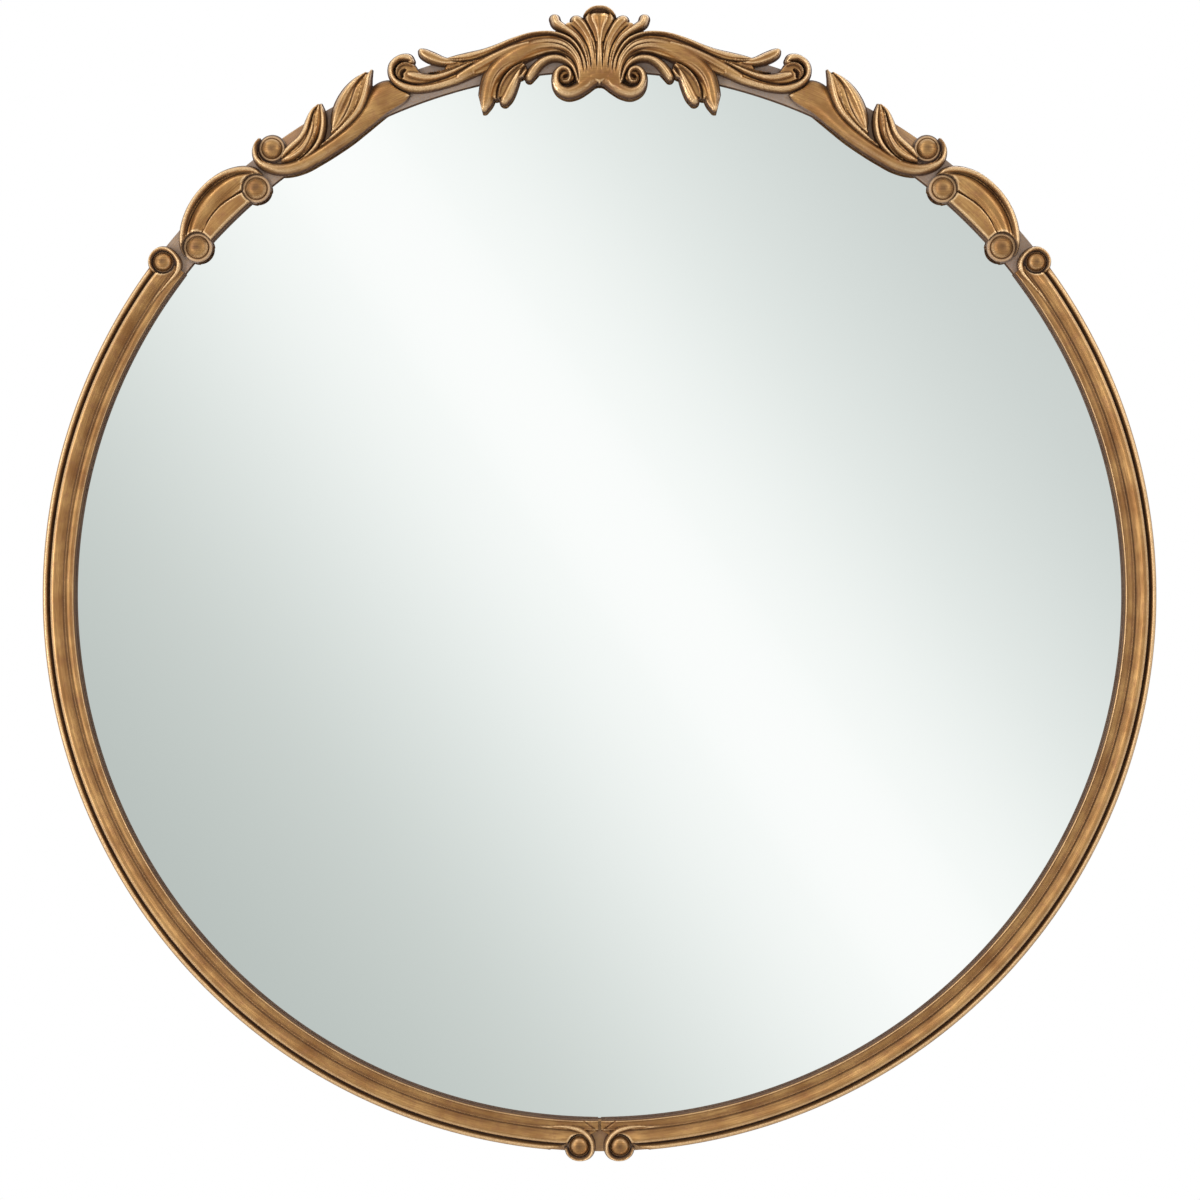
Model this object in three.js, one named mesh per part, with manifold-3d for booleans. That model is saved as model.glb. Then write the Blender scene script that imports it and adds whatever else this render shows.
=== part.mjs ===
// A round wall mirror in an antique gilt frame: flat glass in a thin ring, with a palmette crest,
// scrolled arms, leaf sprays, bead-ended shoulders and banded mouldings laid on the ring's face.
//
// Millimetres, +Z up, front towards -Y. The origin lies on the wall, behind the glass's centre.
import * as THREE from 'three';
import { mergeVertices } from 'three/addons/utils/BufferGeometryUtils.js';
import Module from 'manifold-3d';

const wasm = await Module();
wasm.setup();

// ---- Driving sizes --------------------------------------------------------------------------
const GAP = 0.3; // between pieces that seat on each other

// ring, seen from the front
const OUTER_R = 381;
const RING_WIDTH = 21.9;
const RING_EDGE = 0.8; // small chamfer on the ring's arrises
const RING_LIP = 3.6; // ring left in front of the glass
const REBATE_WIDTH = 7; // ring's cover over the glass edge

// stack behind the ring, from the wall forwards
const BUMPER_THICK = 7;
const BUMPER_R = 8;
const BUMPER_INSET = 36; // bumper's centre, in from the board's edge
const BUMPER_TURN = 0.5; // radians from the top or the bottom
const BOARD_THICK = 6;
const BOARD_INSET = 5; // board's edge, in from the ring's edge
const GLASS_THICK = 4;
const GLASS_PLAY = 1; // room round the glass in its rebate

// carved relief
const WALL = 1.2; // upright edge of every ornament, below its modelled face
const BEAD_FOOT = 1.6; // straight foot under a bead
const BEAD_FLANGE = 2.2; // low ring round a bead's dome
const FLANGE_RISE = 0.8; // rise of that ring towards the dome
const BEAD_DOME = 0.8; // height of a dome, as a share of its radius
const MOULDING_RISE = 7.4;

// board screws
const SCREWS = 10;
const SCREW_R = 1.3;
const SCREW_HEAD_R = 3.4;
const SCREW_HEAD = 1.8;
const SCREW_BITE = 3.2; // depth of the screw in the ring
const SCREW_EDGE = 1.6; // board left outside a screw's head

// hangers: a folded strap with two screws, and a D-shaped wire ring in its fold
const HANGER_X = 205;
const HANGER_Z = 205;
const STRAP_THICK = 1.2;
const STRAP_WIDTH = 14;
const STRAP_LENGTH = 42;
const STRAP_HOLES = [10, STRAP_LENGTH - 9]; // below the fold's axis
const WIRE_R = 1.25;
const FOLD_WIDTH = 11;
const RING_SPAN = 24;
const RING_DROP = 21;
const STRAP_SCREW = 4.6; // length in the board

const AROUND = 60; // facets round the ring
const BEAD_FACETS = 12;

// ---- Places that follow from the sizes --------------------------------------------------------
const MID_R = OUTER_R - RING_WIDTH / 2; // the ring's centre line, where the frieze is laid out
const HALF_ROUND = Math.PI * MID_R;
const SIGHT_R = OUTER_R - RING_WIDTH;
const REBATE_R = SIGHT_R + REBATE_WIDTH;
const BOARD_R = OUTER_R - BOARD_INSET;
const BOARD_BACK = -(BUMPER_THICK + GAP);
const BOARD_FRONT = BOARD_BACK - BOARD_THICK;
const RING_BACK = BOARD_FRONT - GAP;
const GLASS_BACK = RING_BACK;
const REBATE_FLOOR = GLASS_BACK - GLASS_THICK - GAP;
const RING_FACE = REBATE_FLOOR - RING_LIP;
const SEAT = RING_FACE - GAP; // back of every applied ornament
const SCREW_CIRCLE = BOARD_R - SCREW_HEAD_R - SCREW_EDGE;
const BUMPER_CIRCLE = BOARD_R - BUMPER_INSET;

// ---- Solids -----------------------------------------------------------------------------------
function signedVolume(positions, index) {
  let sum = 0;
  const a = new THREE.Vector3();
  const b = new THREE.Vector3();
  const c = new THREE.Vector3();
  for (let i = 0; i < index.length; i += 3) {
    a.fromArray(positions, 3 * index[i]);
    b.fromArray(positions, 3 * index[i + 1]);
    c.fromArray(positions, 3 * index[i + 2]);
    sum += a.dot(b.cross(c)) / 6;
  }
  return sum;
}

// A closed geometry as a solid, turned the right way out.
function solid(geometry) {
  const bare = geometry.clone();
  bare.deleteAttribute('normal');
  bare.deleteAttribute('uv');
  const merged = mergeVertices(bare, 1e-4);
  const positions = new Float32Array(merged.attributes.position.array);
  const index = new Uint32Array(merged.index.array);
  if (signedVolume(positions, index) < 0) {
    for (let i = 0; i < index.length; i += 3) {
      [index[i + 1], index[i + 2]] = [index[i + 2], index[i + 1]];
    }
  }
  const mesh = new wasm.Mesh({ numProp: 3, vertProperties: positions, triVerts: index });
  mesh.merge();
  return new wasm.Manifold(mesh);
}

function union(solids) {
  return solids.reduce((sum, next) => sum.add(next));
}

function geometryOf(manifold) {
  const mesh = manifold.getMesh();
  const geometry = new THREE.BufferGeometry();
  geometry.setAttribute('position', new THREE.BufferAttribute(mesh.vertProperties, 3));
  geometry.setIndex(new THREE.BufferAttribute(mesh.triVerts, 1));
  return geometry;
}

// The left-hand copy of a right-hand geometry.
function mirrored(geometry) {
  const copy = geometry.clone().scale(-1, 1, 1);
  const index = copy.index.array;
  for (let i = 0; i < index.length; i += 3) {
    [index[i + 1], index[i + 2]] = [index[i + 2], index[i + 1]];
  }
  return copy;
}

// Skins a row of equal sections into a closed body: capped at its ends, or joined into a loop.
function loft(sections, loop = false) {
  const n = sections[0].length;
  const rows = sections.length;
  const positions = sections.flat().flatMap((p) => [p.x, p.y, p.z]);
  const index = [];
  const last = loop ? rows : rows - 1;
  for (let i = 0; i < last; i += 1) {
    const next = (i + 1) % rows;
    for (let j = 0; j < n; j += 1) {
      const k = (j + 1) % n;
      index.push(i * n + j, next * n + j, next * n + k);
      index.push(i * n + j, next * n + k, i * n + k);
    }
  }
  for (let j = 1; j < n - 1 && !loop; j += 1) {
    index.push(0, j, j + 1);
    index.push((rows - 1) * n, (rows - 1) * n + j + 1, (rows - 1) * n + j);
  }
  const geometry = new THREE.BufferGeometry();
  geometry.setAttribute('position', new THREE.Float32BufferAttribute(positions, 3));
  geometry.setIndex(index);
  return geometry;
}

// A turned body: its profile is a list of [radius, height] and its axis is +Y.
function turned(profile, facets) {
  return new THREE.LatheGeometry(profile.map(([r, y]) => new THREE.Vector2(r, y)), facets);
}

function disc(radius, back, front, facets) {
  return turned([[0, back], [radius, back], [radius, front], [0, front]], facets);
}

// ---- The frieze -------------------------------------------------------------------------------
// Ornament is drawn on the ring as if it were unrolled: s runs clockwise along the centre line from
// the top, out is the distance from that line towards the rim, and rise is the height off the seat.
function onRing(s, out, rise) {
  const turn = s / MID_R;
  const r = MID_R + out;
  return new THREE.Vector3(r * Math.sin(turn), SEAT - rise, r * Math.cos(turn));
}

// Cross-sections of a modelled stroke, as [share of the half width, share of the rise]
const arc = (steps) => Array.from({ length: steps + 1 }, (_, k) => {
  const a = (Math.PI * k) / steps;
  return [-Math.cos(a), Math.sin(a)];
});
const ROUND = arc(3);
const RIDGE = arc(2);
const SOFT = [[-1, 0], [-0.55, 0.95], [0.55, 0.95], [1, 0]];
const FLAT = [[-1, 0.6], [-0.85, 0.95], [0.85, 0.95], [1, 0.6]];
const SLAB = [[-1, 1], [1, 1]];
const DISH = [[-1, 0.2], [-0.85, 1], [0, 0.65], [0.85, 1], [1, 0.2]];

const curveOf = (points) => new THREE.CatmullRomCurve3(points, false, 'catmullrom', 0.5);

// A tapering stroke of relief. Each point is [s, out, half width, rise].
function stroke(points, form, steps = 1, grow = 0) {
  const path = curveOf(points.map(([s, out]) => new THREE.Vector3(s, out, 0)));
  const size = curveOf(points.map(([, , width, rise]) => new THREE.Vector3(width, rise, 0)));
  const count = (points.length - 1) * steps;
  const sections = [];
  for (let i = 0; i <= count; i += 1) {
    const t = i / count;
    const centre = path.getPoint(t);
    const along = path.getPoint(Math.min(t + 0.002, 1)).sub(path.getPoint(Math.max(t - 0.002, 0)));
    const across = new THREE.Vector3(along.y, -along.x, 0).normalize();
    const width = Math.max(size.getPoint(t).x, 0.3) + grow;
    const rise = Math.max(size.getPoint(t).y, WALL + 0.5) + grow;
    const at = (x, z) => onRing(centre.x + across.x * x, centre.y + across.y * x, z);
    const face = form.map(([x, z]) => at(x * width, WALL + grow + (rise - WALL) * z));
    sections.push([at(-width, -grow), ...face, at(width, -grow)]);
  }
  return solid(loft(sections));
}

const strokes = (list, grow = 0) => list.map(([points, form, steps]) => stroke(points, form, steps, grow));

// A bead: a low foot with a sloping flange, and a dome inside it, standing on the seat.
function bead([s, out, radius], grow = 0) {
  const r = radius + grow;
  const dome = r - BEAD_FLANGE;
  const profile = [[0, -grow], [r, -grow], [r, BEAD_FOOT], [dome, BEAD_FOOT + FLANGE_RISE]];
  for (let k = 1; k <= 3; k += 1) {
    const a = (Math.PI * k) / 6;
    const height = BEAD_FOOT + FLANGE_RISE + BEAD_DOME * dome * Math.sin(a);
    profile.push([k < 3 ? dome * Math.cos(a) : 0, height]);
  }
  const place = onRing(s, out, 0);
  return solid(turned(profile.map(([x, z]) => [x, -z]), BEAD_FACETS).translate(place.x, place.y, place.z));
}

// A wedge of space across the ring between two stations of the frieze, for trimming ends.
function wedge(from, to) {
  const reach = 3 * RING_WIDTH; // past every ornament, in out and in rise
  const corners = [[-reach, -reach], [reach, -reach], [reach, reach], [-reach, reach]];
  const at = (s) => corners.map(([out, rise]) => onRing(s, out, rise));
  return solid(loft([at(from), at((from + to) / 2), at(to)]));
}

// ---- Crest ------------------------------------------------------------------------------------
// Right half; the centre cup is drawn whole. A palmette of fluted lobes springs from a heel, its
// lowest flutes sweep out as broad bands, and leaf lobes hang from them over the glass.
const CUP = [[0, -20, 1.5, 6.5], [0, -8, 1.5, 7.6], [0, 4, 1.8, 8.4], [0, 13, 2.9, 9.2],
  [0, 18.6, 4.6, 10.4], [0, 24, 7.6, 11.4],
  [0, 29, 6.6, 11.4]];
const CUP_RIM = [[-9.6, 26, 1, 9], [-8, 27.9, 1.5, 11], [-4.4, 30, 1.8, 12.6], [0, 30.7, 1.8, 13],
  [4.4, 30, 1.8, 12.6], [8, 27.9, 1.5, 11], [9.6, 26, 1, 9]];
const STEM = [[0, 9, 3, 8.2], [0, 0, 5, 8.3], [0, -9, 8, 8], [0, -14.4, 6.6, 7.4]];
const INNER_LOBE = [[4.4, -17, 1, 6.5], [4.5, -6, 1.4, 7.8], [5.3, 3, 2.2, 8.6], [7, 10.2, 3.3, 9.4],
  [9.8, 16.2, 4.3, 10], [12.7, 20.4, 4.7, 10.4], [15, 22.5, 4.4, 10]];
const OUTER_LOBE = [[8, -16, 1, 6.5], [8.6, -5, 1.6, 8.2], [10.8, 3.6, 2.3, 9.2],
  [14.6, 10.4, 2.9, 9.8], [19.6, 15.3, 3.2, 10.2], [24.4, 18.6, 3.5, 10.6], [27.8, 21.4, 3.8, 11],
  [28.8, 24.7, 3.8, 10.8]];
const CREST_RIM = [[10.2, -17, 0.8, 6], [10.9, -6, 1.2, 7.4], [13.4, 1.6, 1.6, 8.2],
  [17.6, 8, 1.9, 8.8], [23.6, 12.4, 2, 9.2], [33, 15.5, 1.9, 9.2], [45, 16, 1.8, 8.8],
  [57, 14, 2, 8.2], [68, 11.2, 2.3, 7.8], [78, 9.4, 2.7, 7.4], [88, 9, 3.1, 7], [96, 9.7, 2.5, 6.6],
  [102, 10.7, 1.3, 6]];
const BAND = [[13.2, -19, 2.6, 6.6], [13.8, -9, 3.4, 8.2], [16.6, -0.8, 4.2, 9.4],
  [22.4, 5, 5.2, 10.2], [31, 7.6, 6.2, 10.8], [41, 7.4, 6.9, 10.8], [51, 5, 7.6, 10.4],
  [60, 1.6, 8.2, 9.8], [68, -2.4, 8, 9.4], [75, -8, 7.4, 9], [79.6, -15, 6.8, 8.4],
  [83, -22, 6, 7.8], [86.1, -27.7, 3.4, 7]];
const VOLUTE = [[50, -12.6, 3.3, 7.6], [46, -8.4, 4, 8.4], [41, -4.4, 3.6, 8.8], [35, -1.9, 3.1, 9],
  [28.4, -2.2, 2.8, 9.4], [22.8, -4.9, 2.5, 9.8], [19.6, -9.4, 2.2, 10], [18.7, -14.6, 1.9, 10.2],
  [20.4, -19.2, 1.8, 10.2], [24.6, -21.2, 1.7, 10.2], [28.8, -19.4, 1.5, 10],
  [30.2, -15.6, 1.4, 9.8], [28.4, -12.6, 1.1, 9.2]];
const HEEL = [[7.4, -17.6, 5, 7.2], [13, -22.6, 5, 8], [19, -25.2, 4.7, 8.6], [26, -24.6, 4.2, 9],
  [30.8, -20.6, 3.7, 9], [31.8, -15, 3.1, 8.8], [29.8, -11.2, 2.2, 8.4], [27.4, -10, 1.2, 7.6]];
const HANGING_LOBE = [[55.4, -7, 1.4, 7.6], [58.6, -11.2, 2.8, 8.4], [62.4, -16.8, 3.6, 8.8],
  [66, -22.4, 3.9, 8.6], [69.4, -26, 3.4, 7.8]];
const HANGING_RIM = [[53, -3.2, 0.8, 8.6], [59.4, -5.8, 1.4, 9.6], [65.4, -9.8, 1.7, 9.8],
  [70, -15, 1.8, 9.6], [72.8, -21, 1.9, 9], [73.4, -27.4, 1.9, 7.8]];
const NOTCH_LEAF = [[51.6, -8, 1.4, 6.8], [54.4, -10.8, 1.6, 7.2], [57, -12, 1, 6.6]];
// low webs behind the strokes
const CUP_WEB = [[0, 10, 4, 7.2], [0, 17, 7, 7.6], [0, 22, 9.4, 8], [0, 29, 6.8, 8]];
const FAN_WEB = [[0, -16, 5, 6.4], [6, -6, 7, 7], [9, 6, 7.5, 7.4], [13, 14, 7, 7.8],
  [19.4, 18, 4, 8]];
const BAND_WEB = [[13, -19, 4, 6], [15, -4, 6, 6.6], [24, 7, 7, 7], [40, 8.4, 8.2, 7],
  [58, 5.4, 8.6, 6.6], [74, 3.6, 8, 6.2], [88, 2.4, 8, 5.4], [100, 1.2, 7.4, 5]];
const HANGING_WEB = [[54, -6, 3.5, 5.6], [59, -10, 4, 5.6], [65, -14, 6, 6], [71.6, -20, 5.2, 6],
  [76, -24.6, 3.6, 5.6]];
const EYE = [[22, -15, 4.5, 5], [26.6, -15.4, 4.5, 5]];

const CREST_STROKES = [
  [INNER_LOBE, SOFT], [OUTER_LOBE, SOFT], [CREST_RIM, RIDGE], [BAND, SOFT], [VOLUTE, RIDGE],
  [HEEL, SOFT], [HANGING_LOBE, SOFT], [HANGING_RIM, RIDGE], [NOTCH_LEAF, RIDGE], [FAN_WEB, SLAB],
  [BAND_WEB, SLAB], [HANGING_WEB, SLAB], [EYE, SLAB],
];
const CREST_MIDDLE = [[CUP, DISH], [CUP_RIM, RIDGE], [STEM, SOFT], [CUP_WEB, SLAB]];

// ---- Arms: a scroll, the tongue inside it and a curled lobe above it ---------------------------
const ARM_BAND = [[48, 9, 3.6, 10], [58, 7.4, 4.2, 9.6], [68, 5, 4.6, 9], [78, 2.2, 4.8, 8.4],
  [88, -0.6, 4.6, 7.8], [98, -3.4, 3.8, 7.4]];
const ARM_SCROLL = [[88, -2, 4, 7.2], [100, -4.4, 3.4, 7], [112, -4.9, 3, 7.2], [122, -3.9, 3, 7.6],
  [130, -1.4, 3.2, 8], [136.4, 2.8, 3.2, 8.4], [140.3, 8.6, 2.6, 8.8], [140.6, 14.2, 2.5, 9],
  [137.6, 19.2, 2.8, 9.2], [132, 21.3, 2.9, 9.2], [127, 19.6, 3.4, 9], [125.7, 16.4, 3, 8]];
const ARM_TONGUE = [[84, 4.6, 0.8, 7], [94, 2.6, 1.8, 7.4], [104, 1, 2.4, 7.8], [113, 1, 3, 8.2],
  [120.6, 2.9, 3.6, 8.8], [127, 6.6, 3.6, 9.2], [129.8, 8.4, 3, 9]];
const ARM_CURL = [[125.8, 13.4, 1.2, 8], [128.6, 15.8, 1.3, 8.8], [132.6, 16.5, 1.3, 9],
  [136, 14.6, 1.3, 8.8], [137.4, 11.4, 1.2, 8.4], [136.6, 8.2, 0.9, 7.6]];
const ARM_LOBE = [[92, 5.6, 0.8, 6.4], [100, 6.5, 1.5, 7.4], [106.6, 9.6, 3.1, 8.6],
  [111.8, 14.2, 4.3, 9.6], [115.7, 18.4, 4, 9.2], [117.2, 21, 2.4, 8]];
const ARM_WEB = [[96, 0.6, 6.4, 5], [108, -0.6, 5, 5], [118, 0.6, 4.6, 5], [126, 5, 5, 5],
  [131, 12, 7.5, 5]];

const ARM_STROKES = [
  [ARM_SCROLL, SOFT], [ARM_TONGUE, SOFT], [ARM_CURL, RIDGE], [ARM_LOBE, SOFT], [ARM_WEB, SLAB],
];
const ARM_START = 88; // the crest and the arm meet here
const ARM_REACH = 80; // longer than the arm

// ---- Leaf sprays: a band with two ribbed leaves that ends in a scroll round a bead --------------
const SPRAY_BAND = [[135, -4.4, 1.2, 4], [141, -1.6, 6.8, 5], [148, 0.9, 10.6, 5.6],
  [156, -0.4, 10.4, 6], [164, -4.2, 8.6, 6.2], [174, -8.4, 6.8, 6.6], [186, -11.4, 6, 7],
  [200, -12.9, 5.5, 7.2], [212, -13.1, 5.2, 7.4], [223, -12.2, 5.1, 7.8], [233, -9.2, 4.7, 8.3],
  [240.6, -4.2, 4.1, 8.8], [245.3, 2.4, 3.4, 9], [246.6, 8, 2.7, 9], [245, 13.4, 2.1, 8.6],
  [241.6, 17.2, 1.6, 8.2], [237.4, 18.8, 1.1, 7.6]];
const LEAF_NEAR = [[152.2, 20.4, 0.8, 7], [156.4, 16.6, 2.2, 9], [160, 11.4, 3.4, 10],
  [164.4, 5.6, 3.9, 10.2], [170.6, 0.3, 3.9, 10], [178.4, -3.5, 3.2, 9.4], [187, -6.3, 2.5, 8.8],
  [197, -8.2, 1.9, 8], [206, -9.2, 0.9, 7.4]];
const LEAF_FAR = [[155.6, 20.6, 1.2, 7.6], [162.6, 18.8, 2.8, 9.4], [170, 15.2, 4.2, 10.2],
  [176.8, 10.6, 5, 10.4], [182.8, 5.6, 5, 10], [187.6, 1, 3.9, 9.4], [191.2, -2.4, 2, 8.6],
  [193, -4.2, 0.8, 7.6]];
const LEAF_RIB = [[157, 18.4, 0.7, 9.4], [161.4, 14.2, 1.1, 11], [165.4, 9.2, 1.2, 11.6],
  [169.8, 4.2, 1.2, 11.6], [175.4, -0.5, 1.2, 11.2], [182, -4, 1.1, 10.4], [189.4, -5.8, 0.9, 9.6],
  [197, -6.4, 0.5, 8.6]];
const LEAFLET_NEAR = [[191.3, 15.2, 1.3, 7.4], [193.2, 9.4, 2.5, 8.6], [196, 3.8, 2.8, 9],
  [199.8, -1.2, 2.8, 9], [204.6, -5.4, 2.6, 8.8], [211, -8.3, 2.2, 8.4], [219, -9.6, 1.6, 8],
  [226, -9.4, 0.8, 7.6]];
const LEAFLET_RIB = [[193.6, 14.2, 0.7, 9.6], [196.8, 8.8, 1.1, 11], [200.2, 4.2, 1.2, 11.6],
  [204, 0.2, 1.2, 11.4], [208.8, -3.8, 1.2, 10.8], [214.6, -6.7, 1.1, 10.2], [221, -8, 0.8, 9.4],
  [227, -7.6, 0.5, 8.8]];
const LEAFLET_STRIP = [[196.6, 13.2, 0.9, 8.8], [201, 8.2, 1.2, 9.4], [205, 3.6, 1.3, 9.4],
  [209.2, -0.2, 1.3, 9.2], [214, -3, 1.4, 9], [220, -4.7, 1.5, 8.8], [227, -4.6, 1.4, 8.6],
  [233, -3, 0.8, 8.4]];
const LEAFLET_FAR = [[192.6, 15.9, 1.1, 8], [198.4, 14, 2.1, 9.6], [204, 9.6, 2.8, 10.4],
  [209, 5.3, 3.1, 10.6], [214.6, 2.6, 3.1, 10.4], [221, 1.6, 3.2, 10], [227, 0.8, 2.9, 9.4],
  [232, -0.6, 1.4, 8.8]];
const LEAF_WEB = [[155, 17, 2, 6], [162, 12, 4.6, 6.8], [172, 5, 6.6, 7], [184, -2, 6, 7],
  [196, -6, 5, 7]];
const LEAFLET_WEB = [[193, 13, 1.8, 6], [198, 7, 5, 6.8], [207, -0.6, 6, 7], [219, -3.4, 6.4, 7],
  [231, -4, 5, 7]];
const SPRAY_BEAD = [234.3, 8.6, 8.9];

const SPRAY_STROKES = [
  [SPRAY_BAND, FLAT], [LEAF_NEAR, RIDGE], [LEAF_FAR, SOFT], [LEAF_RIB, RIDGE],
  [LEAFLET_NEAR, RIDGE], [LEAFLET_RIB, RIDGE], [LEAFLET_STRIP, RIDGE], [LEAFLET_FAR, RIDGE],
  [LEAF_WEB, SLAB], [LEAFLET_WEB, SLAB],
];

// ---- Shoulders: an arched rim over a raised panel, between two beads ----------------------------
const SHOULDER_RIM = [[251.4, -1, 1.8, 6.6], [253, 4, 2.6, 7.6], [257.4, 8.6, 3, 8.4],
  [263.4, 12.6, 3, 9], [271, 15.7, 2.9, 9.6], [280, 17.2, 2.8, 10], [290, 17, 2.8, 10],
  [299.6, 15.2, 2.8, 9.8], [308.4, 11.9, 2.8, 9.4], [315.8, 7.8, 2.7, 9], [321.8, 3.2, 2.5, 8.6],
  [325.6, -2, 2.2, 8], [326.9, -7, 1.5, 7.2]];
const SHOULDER_PANEL = [[258, 2.6, 3, 6.4], [266, 6.2, 5.2, 6.9], [275, 8, 6.4, 7.2],
  [286, 8.3, 6.6, 7.4], [296, 7.1, 6.4, 7.2], [305, 4.6, 5.5, 6.9], [314, 0.4, 4, 6.4]];
const SHOULDER_APRON = [[263, -7.6, 3.3, 6], [272, -5.8, 5.1, 6.2], [286, -4.7, 6.2, 6.4],
  [300, -5.3, 5.6, 6.2], [312, -7.7, 3.2, 6]];
const SHOULDER_WEB = [[254, 0, 2.6, 4.6], [262, 4, 6, 5], [274, 7, 8, 5.4], [287, 7.6, 8.4, 5.4],
  [300, 5.8, 8, 5.4], [312, 2.4, 6.2, 5], [321.6, -2, 4, 4.6]];
const UPPER_BEAD = [259.5, -6.3, 9.8];
const LOWER_BEAD = [317.4, -6.7, 10.2];

const SHOULDER_STROKES = [
  [SHOULDER_RIM, ROUND], [SHOULDER_PANEL, FLAT], [SHOULDER_APRON, FLAT], [SHOULDER_WEB, SLAB],
];

// ---- Mouldings: from a curl round the side bead to a curl round the bottom bead -----------------
const SIDE_CURL = [[358, -8, 2.6, 5], [348, -8, 2.6, 5.2], [340, -7.2, 2.5, 5.6],
  [334.3, -3.8, 2.3, 6.2], [331.6, 1.6, 1.9, 6.6], [331.5, 7.6, 1.8, 6.8], [334, 12.2, 1.7, 7],
  [338.8, 14.3, 1.6, 7], [343.8, 13.6, 1.5, 6.8], [347.4, 10.4, 1.4, 6.4], [348.8, 6.4, 1.2, 6]];
const SIDE_BEAD = [340.1, 5.4, 7.2];
// measured back from the bottom of the ring
const FOOT_CURL = [[38, -7.6, 2.6, 5], [29.4, -7, 2.6, 5.2], [20.5, -5.9, 2.5, 5.8],
  [13.5, -4.2, 2.5, 6.4], [8.4, -0.9, 2.4, 7], [5.3, 4, 2.3, 7.4], [4.9, 9.6, 2, 7.4],
  [7.2, 14, 1.8, 7.2], [11.6, 16.2, 1.6, 7], [16.6, 15.9, 1.5, 6.8], [20.4, 13, 1.4, 6.6],
  [22.4, 9, 1.2, 6.2]];
const FOOT_BEAD = [13.6, 6.8, 7.4];
const RUN_CLEAR = 1; // from a bead's clearance to the end of the plain run
const MOULDING_FROM = SIDE_BEAD[0] + SIDE_BEAD[2] + GAP + RUN_CLEAR;
const MOULDING_TO = FOOT_BEAD[0] + FOOT_BEAD[2] + GAP + RUN_CLEAR;

const fromFoot = (points) => points.map(([s, ...rest]) => [HALF_ROUND - s, ...rest]);

// The moulding's section from the rim inwards, as [out, rise]: outer roll, deep groove, broad
// hollowed band, fine fillet, flat inner band and sight lip.
function mouldingProfile() {
  const edge = RING_WIDTH / 2;
  const roll = 2;
  const top = MOULDING_RISE;
  return [
    [edge, 0], [edge, 0.4 * top], [edge - roll, 0.68 * top], [edge - 2 * roll, 0.5 * top],
    [edge - 5.4, 0.3 * top], [edge - 6.2, 0.86 * top], [edge - 8.4, top], [edge - 14.8, 0.62 * top],
    [edge - 15.6, 0.76 * top], [edge - 16.4, 0.62 * top], [-edge, 0.46 * top], [-edge, 0],
  ];
}

function mouldingRun() {
  const profile = mouldingProfile();
  const steps = Math.round(AROUND / 3);
  const end = HALF_ROUND - MOULDING_TO;
  const sections = [];
  for (let i = 0; i <= steps; i += 1) {
    const s = MOULDING_FROM + ((end - MOULDING_FROM) * i) / steps;
    sections.push(profile.map(([out, rise]) => onRing(s, out, rise)));
  }
  return solid(loft(sections));
}

// ---- Board, glass, ring ------------------------------------------------------------------------
const screwTurn = (i) => ((i + 0.5) * 2 * Math.PI) / SCREWS;

// Round holes along Y at every board screw
function screwHoles(radius, from, to) {
  return union(Array.from({ length: SCREWS }, (_, i) => {
    const turn = screwTurn(i);
    const hole = disc(radius, from, to, 6);
    return solid(hole.translate(SCREW_CIRCLE * Math.sin(turn), 0, SCREW_CIRCLE * Math.cos(turn)));
  }));
}

function frameRing() {
  const profile = [
    [REBATE_R, RING_BACK], [OUTER_R - RING_EDGE, RING_BACK], [OUTER_R, RING_BACK - RING_EDGE],
    [OUTER_R, RING_FACE + RING_EDGE], [OUTER_R - RING_EDGE, RING_FACE],
    [SIGHT_R + RING_EDGE, RING_FACE], [SIGHT_R, RING_FACE + RING_EDGE], [SIGHT_R, REBATE_FLOOR],
    [REBATE_R, REBATE_FLOOR], [REBATE_R, RING_BACK],
  ];
  const pilots = screwHoles(SCREW_R + GAP, RING_BACK + 1, RING_BACK - SCREW_BITE - GAP);
  return solid(turned(profile, AROUND)).subtract(pilots);
}

function mirrorGlass() {
  return solid(disc(REBATE_R - GLASS_PLAY, GLASS_BACK, GLASS_BACK - GLASS_THICK, AROUND));
}

function hangerScrewHoles() {
  return union([-1, 1].flatMap((side) => STRAP_HOLES.map((drop) => {
    const hole = disc(SCREW_R + GAP, BOARD_BACK + 1, BOARD_BACK - STRAP_SCREW - GAP, 6);
    return solid(hole.translate(side * HANGER_X, 0, HANGER_Z - drop));
  })));
}

function backingBoard() {
  const board = solid(disc(BOARD_R, BOARD_BACK, BOARD_FRONT, AROUND));
  const holes = screwHoles(SCREW_R + GAP, BOARD_BACK + 1, BOARD_FRONT - 1);
  return board.subtract(holes).subtract(hangerScrewHoles());
}

// A pan-head screw whose head seats on a face at `seat` and whose shank runs `bite` past it
function screw(seat, bite) {
  const under = seat + GAP;
  const profile = [
    [0, under + SCREW_HEAD], [0.6 * SCREW_HEAD_R, under + SCREW_HEAD],
    [SCREW_HEAD_R, under], [SCREW_R, under], [SCREW_R, seat - bite], [0, seat - bite],
  ];
  return geometryOf(solid(turned(profile, 6)));
}

function bumper() {
  const profile = [
    [0, -BUMPER_THICK], [BUMPER_R, -BUMPER_THICK], [BUMPER_R, -0.25 * BUMPER_THICK],
    [0.85 * BUMPER_R, 0], [0, 0],
  ];
  return geometryOf(solid(turned(profile, 12)));
}

// ---- Hangers ------------------------------------------------------------------------------------
const STRAP_BACK = BOARD_BACK + GAP; // the strap's face against the board
const FOLD_IN = WIRE_R + GAP + 0.08;
const FOLD_OUT = FOLD_IN + STRAP_THICK;
const FOLD_Y = STRAP_BACK + FOLD_OUT;

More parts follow.
